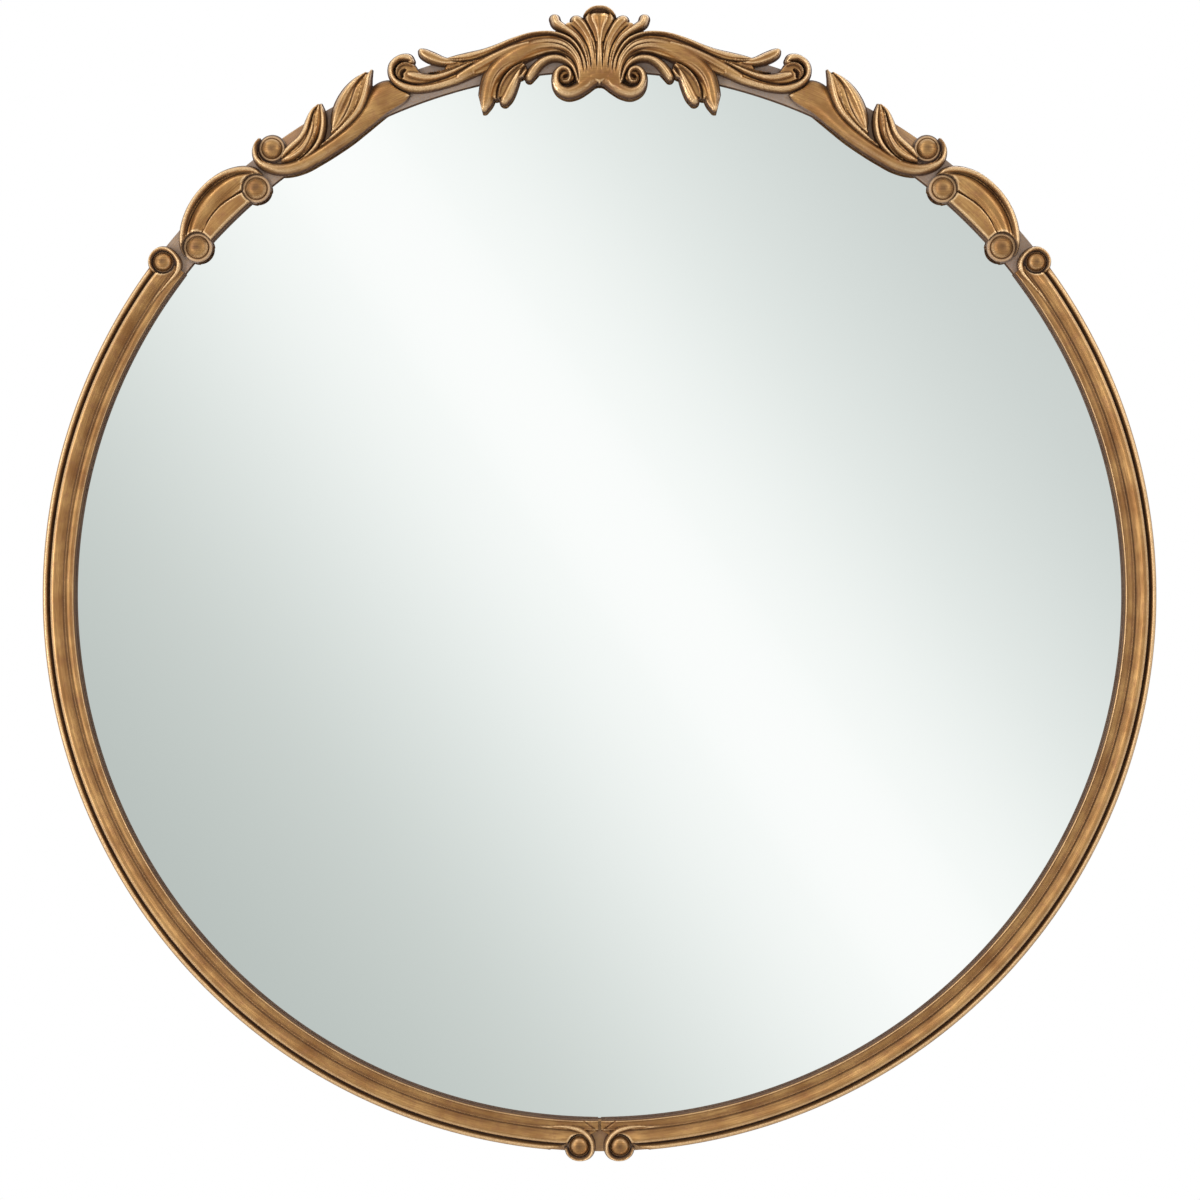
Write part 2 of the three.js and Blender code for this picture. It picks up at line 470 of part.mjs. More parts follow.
function hangerStrap() {
  const half = STRAP_WIDTH / 2;
  const plate = new THREE.Shape();
  plate.moveTo(-FOLD_WIDTH / 2, 0).lineTo(-half, -half).lineTo(-half, half - STRAP_LENGTH);
  plate.absarc(0, half - STRAP_LENGTH, half, Math.PI, 2 * Math.PI, false);
  plate.lineTo(half, -half).lineTo(FOLD_WIDTH / 2, 0);
  STRAP_HOLES.forEach((drop) => {
    const hole = new THREE.Path().absarc(0, -drop, SCREW_R + GAP, 0, 2 * Math.PI, true);
    plate.holes.push(hole);
  });
  const options = { depth: STRAP_THICK, bevelEnabled: false, curveSegments: 4 };
  const flat = new THREE.ExtrudeGeometry(plate, options);
  flat.rotateX(Math.PI / 2).translate(0, STRAP_BACK + STRAP_THICK, 0);
  const fold = new THREE.Shape().absarc(0, 0, FOLD_OUT, 0, 2 * Math.PI);
  fold.holes.push(new THREE.Path().absarc(0, 0, FOLD_IN, 0, 2 * Math.PI, true));
  const eye = new THREE.ExtrudeGeometry(fold, { ...options, depth: FOLD_WIDTH, curveSegments: 6 });
  eye.rotateY(Math.PI / 2).translate(-FOLD_WIDTH / 2, FOLD_Y, 0);
  return geometryOf(solid(flat).add(solid(eye)));
}

// The wire ring, hanging from the fold: a straight bar through the eye and a deep bow under it.
function hangerRing() {
  const corner = 3;
  const half = RING_SPAN / 2;
  const bar = half - corner;
  const path = [[-bar, 0], [0, 0], [bar, 0], [half - 0.9, -0.9]];
  for (let k = 0; k <= 12; k += 1) {
    const a = (Math.PI * k) / 12;
    path.push([half * Math.cos(a), -corner - (RING_DROP - corner) * Math.sin(a)]);
  }
  path.push([0.9 - half, -0.9]);
  const sections = path.map(([x, z], i) => {
    const before = path[(i + path.length - 1) % path.length];
    const after = path[(i + 1) % path.length];
    const along = new THREE.Vector2(after[0] - before[0], after[1] - before[1]).normalize();
    return Array.from({ length: 6 }, (_, k) => {
      const a = (2 * Math.PI * k) / 6;
      const across = WIRE_R * Math.cos(a);
      return new THREE.Vector3(x - along.y * across, WIRE_R * Math.sin(a), z + along.x * across);
    });
  });
  return geometryOf(solid(loft(sections, true)));
}

// ---- Assembly ------------------------------------------------------------------------------------
const GILT = new THREE.MeshStandardMaterial({ color: 0x9a6b38, roughness: 0.45, metalness: 0.7 });
const MIRROR = new THREE.MeshStandardMaterial({ color: 0xd5dbd9, roughness: 0.03, metalness: 1 });
const BOARD = new THREE.MeshStandardMaterial({ color: 0x5b4632, roughness: 0.9, metalness: 0 });
const STEEL = new THREE.MeshStandardMaterial({ color: 0xb9b3a4, roughness: 0.35, metalness: 1 });
const RUBBER = new THREE.MeshStandardMaterial({ color: 0x2b2a29, roughness: 0.9, metalness: 0 });

const mirror = new THREE.Group();

function place(name, geometry, material, x = 0, y = 0, z = 0) {
  const mesh = new THREE.Mesh(geometry, material);
  mesh.name = name;
  mesh.position.set(x, y, z);
  mirror.add(mesh);
}

function placePair(name, manifold) {
  const right = geometryOf(manifold);
  place(`${name}_right`, right, GILT);
  place(`${name}_left`, mirrored(right), GILT);
}

function crestAndArms() {
  const half = union([...strokes(CREST_STROKES), stroke(ARM_BAND, SOFT)]);
  const middle = union(strokes(CREST_MIDDLE));
  const whole = half.add(solid(mirrored(geometryOf(half)))).add(middle);
  const ends = wedge(ARM_START, ARM_START + ARM_REACH);
  const bothEnds = ends.add(solid(mirrored(geometryOf(ends))));
  place('crest_palmette', geometryOf(whole.subtract(bothEnds)), GILT);

  const arm = union([...strokes(ARM_STROKES), stroke(CREST_RIM, RIDGE), stroke(ARM_BAND, SOFT)]);
  placePair('crest_arm', arm.intersect(wedge(ARM_START + GAP, ARM_START + ARM_REACH)));
}

function sprays() {
  const armClearance = union(strokes(ARM_STROKES.slice(0, 2), GAP));
  const spray = union(strokes(SPRAY_STROKES)).subtract(armClearance);
  placePair('leaf_spray', spray.subtract(bead(SPRAY_BEAD, GAP)));
  placePair('leaf_bead', bead(SPRAY_BEAD));
}

function shoulders() {
  const shoulder = union(strokes(SHOULDER_STROKES));
  const seats = bead(UPPER_BEAD, GAP).add(bead(LOWER_BEAD, GAP));
  placePair('shoulder', shoulder.subtract(seats));
  placePair('shoulder_bead_upper', bead(UPPER_BEAD));
  placePair('shoulder_bead_lower', bead(LOWER_BEAD));
}

function mouldings() {
  const [footBead] = fromFoot([FOOT_BEAD]);
  const curls = [stroke(SIDE_CURL, ROUND), stroke(fromFoot(FOOT_CURL), ROUND)];
  const run = mouldingRun().add(curls[0]).add(curls[1]);
  placePair('moulding', run.subtract(bead(SIDE_BEAD, GAP)).subtract(bead(footBead, GAP)));
  placePair('side_bead', bead(SIDE_BEAD));
  placePair('bottom_bead', bead(footBead));
}

function back() {
  place('backing_board', geometryOf(backingBoard()), BOARD);
  for (let i = 0; i < SCREWS; i += 1) {
    const turn = screwTurn(i);
    const number = String(i + 1).padStart(2, '0');
    const fixing = screw(BOARD_BACK, BOARD_THICK + GAP + SCREW_BITE);
    const x = SCREW_CIRCLE * Math.sin(turn);
    place(`board_screw_${number}`, fixing, STEEL, x, 0, SCREW_CIRCLE * Math.cos(turn));
  }
  [['upper', BUMPER_TURN], ['lower', Math.PI - BUMPER_TURN]].forEach(([level, turn]) => {
    [['right', 1], ['left', -1]].forEach(([side, sign]) => {
      const x = sign * BUMPER_CIRCLE * Math.sin(turn);
      place(`wall_bumper_${level}_${side}`, bumper(), RUBBER, x, 0, BUMPER_CIRCLE * Math.cos(turn));
    });
  });
}

function hangers() {
  [['right', 1], ['left', -1]].forEach(([side, sign]) => {
    const x = sign * HANGER_X;
    place(`hanger_strap_${side}`, hangerStrap(), STEEL, x, 0, HANGER_Z);
    place(`hanger_ring_${side}`, hangerRing(), STEEL, x, FOLD_Y, HANGER_Z);
    STRAP_HOLES.forEach((drop, i) => {
      const fixing = screw(STRAP_BACK + STRAP_THICK, STRAP_THICK + GAP + STRAP_SCREW);
      place(`hanger_screw_${side}_${i + 1}`, fixing, STEEL, x, 0, HANGER_Z - drop);
    });
  });
}

place('frame_ring', geometryOf(frameRing()), GILT);
place('mirror_glass', geometryOf(mirrorGlass()), MIRROR);
crestAndArms();
sprays();
shoulders();
mouldings();
back();
hangers();

export default mirror;
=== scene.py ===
# %% [markdown]
# # A round wall mirror in an antique gilt frame
# The object is a flat round mirror in a thin ring. Cast ornament lies on the ring's face: a palmette
# crest, scrolled arms, leaf sprays, arched shoulders with beads, and a banded moulding round the
# lower half. This notebook dresses the plain solids of that mirror with fine relief, an antique
# gilt finish, silvered glass and plated fittings. Every length is in metres unless a name says
# millimetres, the front faces -Y, and +Z is up.

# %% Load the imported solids
import math

import bmesh
import bpy
import numpy as np
from mathutils import Matrix, Vector


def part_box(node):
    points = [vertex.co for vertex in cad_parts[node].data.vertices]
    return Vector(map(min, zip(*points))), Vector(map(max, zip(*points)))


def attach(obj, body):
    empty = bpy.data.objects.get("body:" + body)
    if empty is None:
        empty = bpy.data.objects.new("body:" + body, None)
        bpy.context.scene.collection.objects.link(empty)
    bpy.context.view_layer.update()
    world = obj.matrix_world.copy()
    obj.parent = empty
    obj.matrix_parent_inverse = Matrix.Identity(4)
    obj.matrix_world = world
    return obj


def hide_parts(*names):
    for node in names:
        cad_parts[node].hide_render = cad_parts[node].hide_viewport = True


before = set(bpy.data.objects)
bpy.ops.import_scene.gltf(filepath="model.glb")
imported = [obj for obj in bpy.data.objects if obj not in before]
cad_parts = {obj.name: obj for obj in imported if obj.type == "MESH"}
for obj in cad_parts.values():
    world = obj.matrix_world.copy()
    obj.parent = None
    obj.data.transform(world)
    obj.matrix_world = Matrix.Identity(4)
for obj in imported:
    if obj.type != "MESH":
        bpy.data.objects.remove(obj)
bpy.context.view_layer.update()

# %% [markdown]
# ## Sizes that come from the solids
# A piece that dresses a solid has to sit exactly where the solid sits. So the radii and depths are
# read from the boxes of the solids, and only what a box can't tell is typed in. The ornament is
# drawn in millimetres on the ring as if it were unrolled, because a carver thinks of it as a strip.

# %% Measure the frame
MM = 0.001


def span(node, axis):
    low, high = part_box(node)
    return low[axis], high[axis]


OUTER_R = span("frame_ring", 0)[1]
RING_FACE, RING_BACK = span("frame_ring", 1)
GLASS_R = span("mirror_glass", 0)[1]
GLASS_FRONT, GLASS_BACK = span("mirror_glass", 1)
BOARD_R = span("backing_board", 0)[1]
BOARD_FRONT, BOARD_BACK = span("backing_board", 1)
SEAT = span("moulding_right", 1)[1]
RING_WIDTH = 21.9 * MM
RING_LIP = 3.6 * MM
REBATE_WIDTH = 7 * MM
MID_R = OUTER_R - RING_WIDTH / 2
HALF_ROUND = math.pi * MID_R / MM
print("ring radius", round(OUTER_R, 4), "half round", round(HALF_ROUND, 1), "mm")

# %% [markdown]
# ## Colours and nodes
# Finishes are easier to judge as the hex values a paint chart uses, but Blender's shaders work in
# linear light. One function turns one into the other. A second small function adds a node with its
# settings and its links, so each material below reads as a list of what the finish is made of.


# %% Colour and node helpers
def linear(hex_colour):
    channels = [int(hex_colour[i : i + 2], 16) / 255 for i in (1, 3, 5)]
    return [c / 12.92 if c <= 0.04045 else ((c + 0.055) / 1.055) ** 2.4 for c in channels] + [1.0]


def add_node(tree, kind, inputs=None, **settings):
    node = tree.nodes.new(kind)
    for name, value in settings.items():
        setattr(node, name, value)
    for socket, source in (inputs or {}).items():
        if isinstance(source, bpy.types.NodeSocket):
            tree.links.new(source, node.inputs[socket])
        else:
            node.inputs[socket].default_value = source
    return node


def new_material(name):
    material = bpy.data.materials.new(name)
    material.use_nodes = True
    tree = material.node_tree
    tree.nodes.clear()
    shader = add_node(tree, "ShaderNodeBsdfPrincipled")
    add_node(tree, "ShaderNodeOutputMaterial", {"Surface": shader.outputs[0]})
    return material, tree, shader


MIX_SHARE, MIX_A, MIX_B, MIX_RESULT = 0, 6, 7, 2  # a colour Mix node's sockets
print("colours are hex values, such as pure white", linear("#FFFFFF"))

# %% [markdown]
# ## Antique gilt
# The ornament is cast resin, sprayed a bronze gold, brushed with a brown glaze that stays in the
# hollows, wiped off the crests, and dusted with a grey lilac wax on the ground between the forms.
# A hand finisher works by height, so the shader does too. The relief carries three attributes:
# groove for the glaze and painted occlusion shade in the hollows, crest for the rubbed edges and
# painted highlights on them, and ground for the dust. Fine streaks run along
# the frame because the brush did. They read a UV map that follows the ring.

# %% The gilt material
BRUSH_LENGTH = 16 * MM
BRUSH_WIDTH = 0.7 * MM
BLOTCH = 26 * MM
RUB = 5 * MM
SPECKLE = 0.9 * MM
GRAIN_DEPTH = 0.25 * MM
WHOLE = (0.0, 1.0)


def antique_gilt():
    material, tree, shader = new_material("bronze_gilt_on_cast_resin")
    uv = add_node(tree, "ShaderNodeUVMap", uv_map="frieze").outputs[0]
    place = add_node(tree, "ShaderNodeTexCoord").outputs["Object"]
    brushed = add_node(tree, "ShaderNodeMapping", {
        "Vector": uv, "Scale": (1 / BRUSH_LENGTH, 1 / BRUSH_WIDTH, 1),
    }).outputs[0]
    streaks, blotches, rubs, speckle = (
        add_node(tree, "ShaderNodeTexNoise", {
            "Vector": where, "Scale": scale, "Detail": detail, "Roughness": roughness,
        }).outputs[0]
        for where, scale, detail, roughness in (
            (brushed, 1.0, 4.0, 0.65), (place, 1 / BLOTCH, 3.0, 0.5), (place, 1 / RUB, 5.0, 0.7),
            (place, 1 / SPECKLE, 3.0, 0.5),
        )
    )
    groove, crest, ground = (
        add_node(tree, "ShaderNodeAttribute", attribute_name=name).outputs["Fac"]
        for name in ("groove", "crest", "ground")
    )

    # each coat: where it may lie, its noise, the range of it that counts, least and most cover, colour
    coats = [
        (1.0, blotches, (0.35, 0.66), WHOLE, "#BC935D"),  # paler gold in clouds
        (1.0, streaks, (0.42, 0.7), (0.0, 0.75), "#7D5632"),  # brown left by the brush
        (1.0, rubs, (0.5, 0.72), (0.0, 0.7), "#8D6245"),  # red gold where the cloth dwelt
        (crest, speckle, (0.3, 0.62), (0.35, 1.0), "#DFBD90"),  # bright gold on rubbed edges, and a painted highlight there
        (ground, speckle, (0.36, 0.56), (0.55, 1.0), "#968C86"),  # grey wax on the ground
        (groove, speckle, (0.25, 0.6), (0.75, 1.0), "#432A1A"),  # brown glaze in the hollows, and painted occlusion shade there
    ]
    gold = linear("#8F653A")
    for mask, noise, (low, high), (least, most), colour in coats:
        cover = add_node(tree, "ShaderNodeMapRange", {
            "Value": noise, "From Min": low, "From Max": high, "To Min": least, "To Max": most,
        })
        held = add_node(tree, "ShaderNodeMath", {0: mask, 1: cover.outputs[0]}, operation="MULTIPLY")
        coat = {MIX_SHARE: held.outputs[0], MIX_A: gold, MIX_B: linear(colour)}
        gold = add_node(tree, "ShaderNodeMix", coat, data_type="RGBA").outputs[MIX_RESULT]
    tree.links.new(gold, shader.inputs["Base Color"])

    # wax, and glaze with its painted shade, are dull and hide the metal
    dull = add_node(tree, "ShaderNodeMath", {0: groove, 1: ground}, operation="MAXIMUM").outputs[0]
    metal = add_node(tree, "ShaderNodeMapRange", {"Value": dull, "To Min": 0.8, "To Max": 0.05})
    tree.links.new(metal.outputs[0], shader.inputs["Metallic"])
    polish = add_node(tree, "ShaderNodeMapRange", {
        "Value": streaks, "From Min": 0.3, "From Max": 0.75, "To Min": 0.34, "To Max": 0.5,
    })
    matt = add_node(tree, "ShaderNodeMapRange", {"Value": dull, "To Min": 0.0, "To Max": 0.4})
    rough = add_node(tree, "ShaderNodeMath", {0: polish.outputs[0], 1: matt.outputs[0]}, operation="ADD")
    tree.links.new(rough.outputs[0], shader.inputs["Roughness"])
    shader.inputs["Specular IOR Level"].default_value = 0.25
    grain = {MIX_SHARE: 0.5, MIX_A: streaks, MIX_B: speckle}
    grain = add_node(tree, "ShaderNodeMix", grain, data_type="RGBA").outputs[MIX_RESULT]
    bump = add_node(tree, "ShaderNodeBump", {"Height": grain, "Strength": 0.35, "Distance": GRAIN_DEPTH})
    tree.links.new(bump.outputs[0], shader.inputs["Normal"])
    return material


GILT = antique_gilt()
print("made", GILT.name)

# %% [markdown]
# ## The frieze
# On the real frame the ornament was modelled as a strip and bent round the ring. Here s runs
# clockwise along the ring's centre line from the top, out is the distance from that line towards
# the rim, and rise is the height off the ring's face, all in millimetres. One function bends that
# strip round the ring.


# %% Bend the strip round the ring
def on_ring(s, out, rise):
    turn = s * MM / MID_R
    r = MID_R + out * MM
    return np.stack([r * np.sin(turn), SEAT - rise * MM, r * np.cos(turn)], axis=-1)


def curve_through(points, per_span=8):
    """A Catmull-Rom curve through rows of numbers, with its ends drawn out in line."""
    rows = np.array(points, float)
    padded = np.vstack([2 * rows[0] - rows[1], rows, 2 * rows[-1] - rows[-2]])
    t = np.linspace(0, 1, per_span, endpoint=False)[:, None]
    spans = []
    for a, b, c, d in zip(padded, padded[1:], padded[2:], padded[3:]):
        slope_b, slope_c = (c - a) / 2, (d - b) / 2
        cubic = -3 * b + 3 * c - 2 * slope_b - slope_c
        spans.append(b + slope_b * t + cubic * t**2 + (2 * b - 2 * c + slope_b + slope_c) * t**3)
    return np.vstack(spans + [rows[-1:]])


# %% [markdown]
# ## Strokes of relief
# Acanthus ornament is a family of tapering strokes, each with its own cross-section. They could be
# swept one by one and joined with booleans, but a carver's valleys are soft where two lobes meet,
# and booleans leave hard seams. A height field is kinder: for each spot on the strip the stroke
# that stands highest wins, with a small smooth blend between neighbours. Each form below gives the
# share of the rise from u, 0 on the stroke's line and 1 at its side, and t, the share of the way
# along it. Cuts work the other way: each takes a narrow V out of the height and holds some glaze,
# which is also painted shade in the cut.


# %% Cross-sections of the strokes
def round_form(u, t):
    return np.sqrt(np.clip(1 - u**2, 0, 1))


def pillow(u, t):
    return 1 - u**2.6


def plate(u, t):
    return np.clip((1 - u) / 0.12, 0, 1) ** 0.5 * (1 - 0.05 * u**2)


def dish(u, t):
    hollow = 0.3 * np.exp(-((u / 0.62) ** 2)) * np.clip((t - 0.5) / 0.3, 0, 1)
    return (1 - u**7) * (1 - hollow)


def spoon(u, t):
    hollow = 0.16 * np.exp(-((u / 0.5) ** 2)) * np.sin(math.pi * np.clip(t, 0, 1))
    return (1 - u**3.2) * (1 - hollow)


def keel(u, t):
    return (1 - u) ** 0.75


print(len((round_form, pillow, plate, dish, spoon, keel)), "cross-sections")

# %% Measure places against a stroke or a cut
OUTSIDE = -9.0  # stands for no height, and for a place far from every form
SEARCH = 3  # how far beyond a stroke places are still measured, in millimetres


def across(points, narrowest, s, out):
    """Which places lie near a stroke, and for those: share across, share along, half width and rise."""
    path = curve_through([(*row, 0.0)[:4] for row in points])
    reach = path[:, 2].max() + SEARCH
    near = (s > path[:, 0].min() - reach) & (s < path[:, 0].max() + reach)
    near &= (out > path[:, 1].min() - reach) & (out < path[:, 1].max() + reach)
    x, y = s[near], out[near]
    best = np.full(x.shape, np.inf)
    along, width, rise = (np.zeros(x.shape) for _ in range(3))
    for i, (a, b) in enumerate(zip(path[:-1], path[1:])):
        step = b[:2] - a[:2]
        length = step @ step + 1e-12
        t = np.clip(((x - a[0]) * step[0] + (y - a[1]) * step[1]) / length, 0, 1)
        dx, dy = x - a[0] - t * step[0], y - a[1] - t * step[1]
        here = np.maximum(a[2] + t * (b[2] - a[2]), narrowest)
        u = np.hypot(dx, dy) / here
        better = u < best
        best = np.where(better, u, best)
        along = np.where(better, (i + t) / (len(path) - 1), along)
        width = np.where(better, here, width)
        rise = np.where(better, a[3] + t * (b[3] - a[3]), rise)
    return near, best, along, width, rise


# %% Heights of strokes, depths of cuts
FOOT = 1.2  # height of the ornament's edge, in millimetres
SEAT_RISE = 0.9 * FOOT  # the lowest that a casting's face lies
PLATE_EDGE = 0.45  # width of the thin flange of casting round every form
LEAST_RISE = 0.5  # how far the flattest form still stands above the edge
FINEST_STROKE = 0.3  # half width of the finest stroke, in millimetres
FINEST_FORM = 0.2  # half width that a stroke keeps inside its flange
BLEND = 0.9  # how softly neighbours meet
GLAZE_AND_SHADE_PER_MM = 0.42  # brown glaze and painted shade that a cut holds, for each millimetre of its depth
FINEST_CUT = 0.5  # half width of the finest cut, in millimetres
CUT_FADE = 0.16  # share of a cut's length over which it runs out at each end


def stroke_height(points, form, s, out):
    """Height and cover of one stroke at flat lists of places. Cover is how far inside it a place is."""
    near, best, along, width, rise = across(points, FINEST_STROKE, s, out)
    height, cover = np.full(s.shape, OUTSIDE), np.full(s.shape, OUTSIDE)
    inner = np.clip(best * width / np.maximum(width - PLATE_EDGE, FINEST_FORM), 0, 1)
    lifted = FOOT + (np.maximum(rise, FOOT + LEAST_RISE) - FOOT) * form(inner, along)
    height[near] = np.where(best < 1, lifted, OUTSIDE)
    cover[near] = (1 - best) * width
    return height, cover


def cut_share(points, fade, s, out):
    """How deep a cut goes at flat lists of places, as a share. It runs out over `fade` at its ends."""
    near, best, along, _, _ = across(points, FINEST_CUT, s, out)
    share = np.zeros(s.shape)
    run_out = np.clip(np.minimum(along, 1 - along) / fade, 0, 1) if fade else 1.0
    share[near] = np.clip(1 - best, 0, 1) ** 0.7 * run_out
    return share


def carve(strokes, cuts=()):
    """Turns strokes and cuts into one function that gives height, cover and glaze with painted shade at any
    places.
    """

    def shape(s, out):
        flat_s, flat_out = s.ravel(), out.ravel()
        height, cover = np.full(flat_s.shape, OUTSIDE), np.full(flat_s.shape, OUTSIDE)
        glaze_and_shade = np.zeros(flat_s.shape)
        for points, form in strokes:
            h, c = stroke_height(points, form, flat_s, flat_out)
            soft = np.clip(BLEND - np.abs(height - h), 0, None) ** 2 / (4 * BLEND)
            both = (height > 0) & (h > 0)
            height = np.maximum(height, h) + np.where(both, soft, 0)
            cover = np.maximum(cover, c)
        for points, depth, *fade in cuts:
            deep = depth * cut_share(points, fade[0] if fade else CUT_FADE, flat_s, flat_out)
            height = height - deep * (height > FOOT)
            glaze_and_shade = np.maximum(glaze_and_shade, GLAZE_AND_SHADE_PER_MM * deep)
        height = np.maximum(height, SEAT_RISE)
        return tuple(values.reshape(s.shape) for values in (height, cover, glaze_and_shade))

    return shape


print("a casting's edge stands", FOOT, "mm high, and its face never lies under", round(SEAT_RISE, 2), "mm")

# %% [markdown]
# ## From heights to a closed piece
# A grid of places on the strip is lifted by the heights. Grid corners just outside the outline are
# pulled onto it, so the silhouette is smooth and not stepped. A wall goes down from the outline to
# the seat, and a flat back closes the piece. While the heights are at hand, a blur of them says
# which places are hollows and which are crests, and that goes into the attributes that the gilt
# material reads.


# %% Read the hollows and the crests
FINE_BLUR, BROAD_BLUR = 0.8, 2.6  # millimetres of surroundings that a place is held against
GROUND_RISE = 2.2  # places lower than this are ground, which takes the wax
GROUND_FADE = 0.9


def blurred(values, weight, cells):
    reach = int(3 * cells) + 1
    taps = np.exp(-0.5 * (np.arange(-reach, reach + 1) / cells) ** 2)
    total, share = values * weight, weight.astype(float)
    for axis in (0, 1):
        total = sum(k * np.roll(total, i - reach, axis) for i, k in enumerate(taps))
        share = sum(k * np.roll(share, i - reach, axis) for i, k in enumerate(taps))
    return total / np.maximum(share, 1e-6)


def finish_and_light_marks(height, inside, glaze_and_shade, step):
    """Shares of glaze with painted shade, of rub with painted highlight, and of wax, from how a place stands
    against its surroundings.
    """
    fine = height - blurred(height, inside, FINE_BLUR / step)
    broad = height - blurred(height, inside, BROAD_BLUR / step)
    # places lower than their surroundings take brown glaze and painted occlusion shade, higher ones rub and
    # painted highlight
    groove = glaze_and_shade + np.clip(-fine / 0.8 - 0.15, 0, 0.7) + np.clip(-broad / 3.4 - 0.2, 0, 0.5)
    crest = np.clip(fine / 0.3 - 0.35, 0, 1) * np.clip(broad / 0.8 + 0.4, 0, 1)
    ground = np.clip((GROUND_RISE - height) / GROUND_FADE, 0, 1)
    return np.clip(groove, 0, 1), np.clip(crest, 0, 1), ground


print("surroundings are read over", FINE_BLUR, "and", BROAD_BLUR, "mm")


# %% Meshes and their marks
def mesh_piece(name, points, faces, material):
    mesh = bpy.data.meshes.new(name)
    mesh.from_pydata([tuple(p) for p in points], [], faces)
    mesh.validate()
    mesh.polygons.foreach_set("use_smooth", [True] * len(mesh.polygons))
    mesh.materials.append(material)
    piece = bpy.data.objects.new(name, mesh)
    bpy.context.collection.objects.link(piece)
    return piece


def set_marks(mesh, marks, frieze):
    for label, values in zip(("groove", "crest", "ground"), marks):
        layer = mesh.attributes.new(label, "FLOAT", "POINT")
        layer.data.foreach_set("value", np.asarray(values, np.float32))
    corners = np.empty(len(mesh.loops), np.int32)
    mesh.loops.foreach_get("vertex_index", corners)
    layer = mesh.uv_layers.new(name="frieze")
    layer.data.foreach_set("uv", np.asarray(frieze, np.float32)[corners].ravel())


def settle(piece, slot, *nodes, body="root"):
    """Hides the solids that the piece stands for and puts the piece on the body that carries it. Its finish
    is not used.
    """
    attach(piece, body)
    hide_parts(*nodes)


# %% Lift a grid of places
FLATTEST = 0.3  # least slope of the cover that a corner is pulled along
BESIDE = 0.12  # corners this share of a step inside the outline, or outside it, go onto it
FURTHEST_PULL = 1.5  # steps


def lifted_grid(s_lines, out_lines, shape):
    """Places, heights, which places are inside, and marks. Corners beside the outline lie on it."""
    step = out_lines[1] - out_lines[0]
    s, out = np.meshgrid(s_lines, out_lines, indexing="ij")
    _, cover, _ = shape(s, out)
    inside = cover > 0
    slope_s, slope_out = np.gradient(cover, s_lines, out_lines)
    steep = np.maximum(slope_s**2 + slope_out**2, FLATTEST)
    beside = cover < BESIDE * step
    pull, furthest = np.where(beside, cover, 0), FURTHEST_PULL * step
    s = s - np.clip(pull * slope_s / steep, -furthest, furthest)
    out = out - np.clip(pull * slope_out / steep, -furthest, furthest)
    height, _, glaze_and_shade = shape(s, out)
    height = np.where(beside, SEAT_RISE, height)
    return s, out, height, inside, finish_and_light_marks(height, inside, glaze_and_shade, step)


def closed_faces(inside):
    """Which places are used, and the faces of a top over them, a wall round it and a flat back."""
    number = np.arange(inside.size).reshape(inside.shape)
    a, b, c, d = number[:-1, :-1], number[1:, :-1], number[1:, 1:], number[:-1, 1:]
    touched = inside[:-1, :-1] | inside[1:, :-1] | inside[:-1, 1:] | inside[1:, 1:]
    top = np.stack([a, b, c, d], axis=-1)[touched]
    used = np.unique(top)
    count = len(used)
    renumber = np.full(inside.size, -1)
    renumber[used] = np.arange(count)
    top = renumber[top]
    edges = np.concatenate([top[:, [i, (i + 1) % 4]] for i in range(4)])
    rim = edges[~np.isin(edges[:, 0] * count + edges[:, 1], edges[:, 1] * count + edges[:, 0])]
    wall = np.stack([rim[:, 1], rim[:, 0], rim[:, 0] + count, rim[:, 1] + count], axis=-1)
    return used, np.vstack([top, wall, top[:, ::-1] + count])


# %% Make a casting
GRID = 0.45  # spacing of the relief grid, in millimetres
WALL_GLAZE_AND_SHADE = 0.7  # brown glaze and painted shade on the castings' edges
SHARP = math.radians(62)  # folds sharper than this keep a hard edge
SLIVER = 0.004 * MM
SIDES = ("right", "left")


def lines(low, high, step):
    return np.linspace(low, high, int(round((high - low) / step)) + 1)


def relief(name, s_lines, out_lines, shape, mirrored=False):
    s, out, height, inside, marks = lifted_grid(s_lines, out_lines, shape)
    used, faces = closed_faces(inside)
    s, out, height = (values.ravel()[used] for values in (s, out, height))
    points = np.vstack([on_ring(s, out, height), on_ring(s, out, 0 * height)])
    if mirrored:
        points[:, 0] *= -1
        faces = faces[:, ::-1]
    piece = mesh_piece(name, points, faces.tolist(), GILT)
    frieze = np.stack([s, out], axis=-1) * MM
    tops = [mark.ravel()[used] for mark in marks]
    lows = [np.full(len(used), WALL_GLAZE_AND_SHADE), np.zeros(len(used)), np.zeros(len(used))]
    set_marks(piece.data, [np.concatenate(pair) for pair in zip(tops, lows)], np.vstack([frieze, frieze]))
    clean = bmesh.new()
    clean.from_mesh(piece.data)
    bmesh.ops.dissolve_degenerate(clean, dist=SLIVER, edges=clean.edges[:])
    bmesh.ops.recalc_face_normals(clean, faces=clean.faces[:])
    clean.to_mesh(piece.data)
    clean.free()
    piece.data.set_sharp_from_angle(angle=SHARP)
    print(name, len(piece.data.polygons), "faces")
    return piece


def casting_pair(name, node, s_lines, out_lines, shape):
    """The same casting on the right and, mirrored, on the left."""
    for side in SIDES:
        casting = relief(f"gilt_{name}_{side}", s_lines, out_lines, shape, mirrored=side == "left")
        settle(casting, "antique_gilt", f"{node}_{side}")


# %% [markdown]
# ## The crest and its arms
# The crest is a cup on a reeded stem, two lobes on each side, a broad band that sweeps out over a
# pair of volutes, and leaf lobes that hang over the glass. Each arm carries it on into a scroll,
# with a tongue inside it and a curled lobe above. Each volute is one spiral that leaves the middle
# of the base and winds in round its eye. It is the same left and right, so only the right half is
# drawn and the height is read at the distance from the middle. Crest and arms share one field, so
# the relief runs on without a step where the two castings meet. A carver sets the broad forms first
# and then cuts the valleys with a veiner, so the forms and the cuts are two lists. A form's rows
# are place along the strip, place across it, half width and rise. A cut's have no rise.

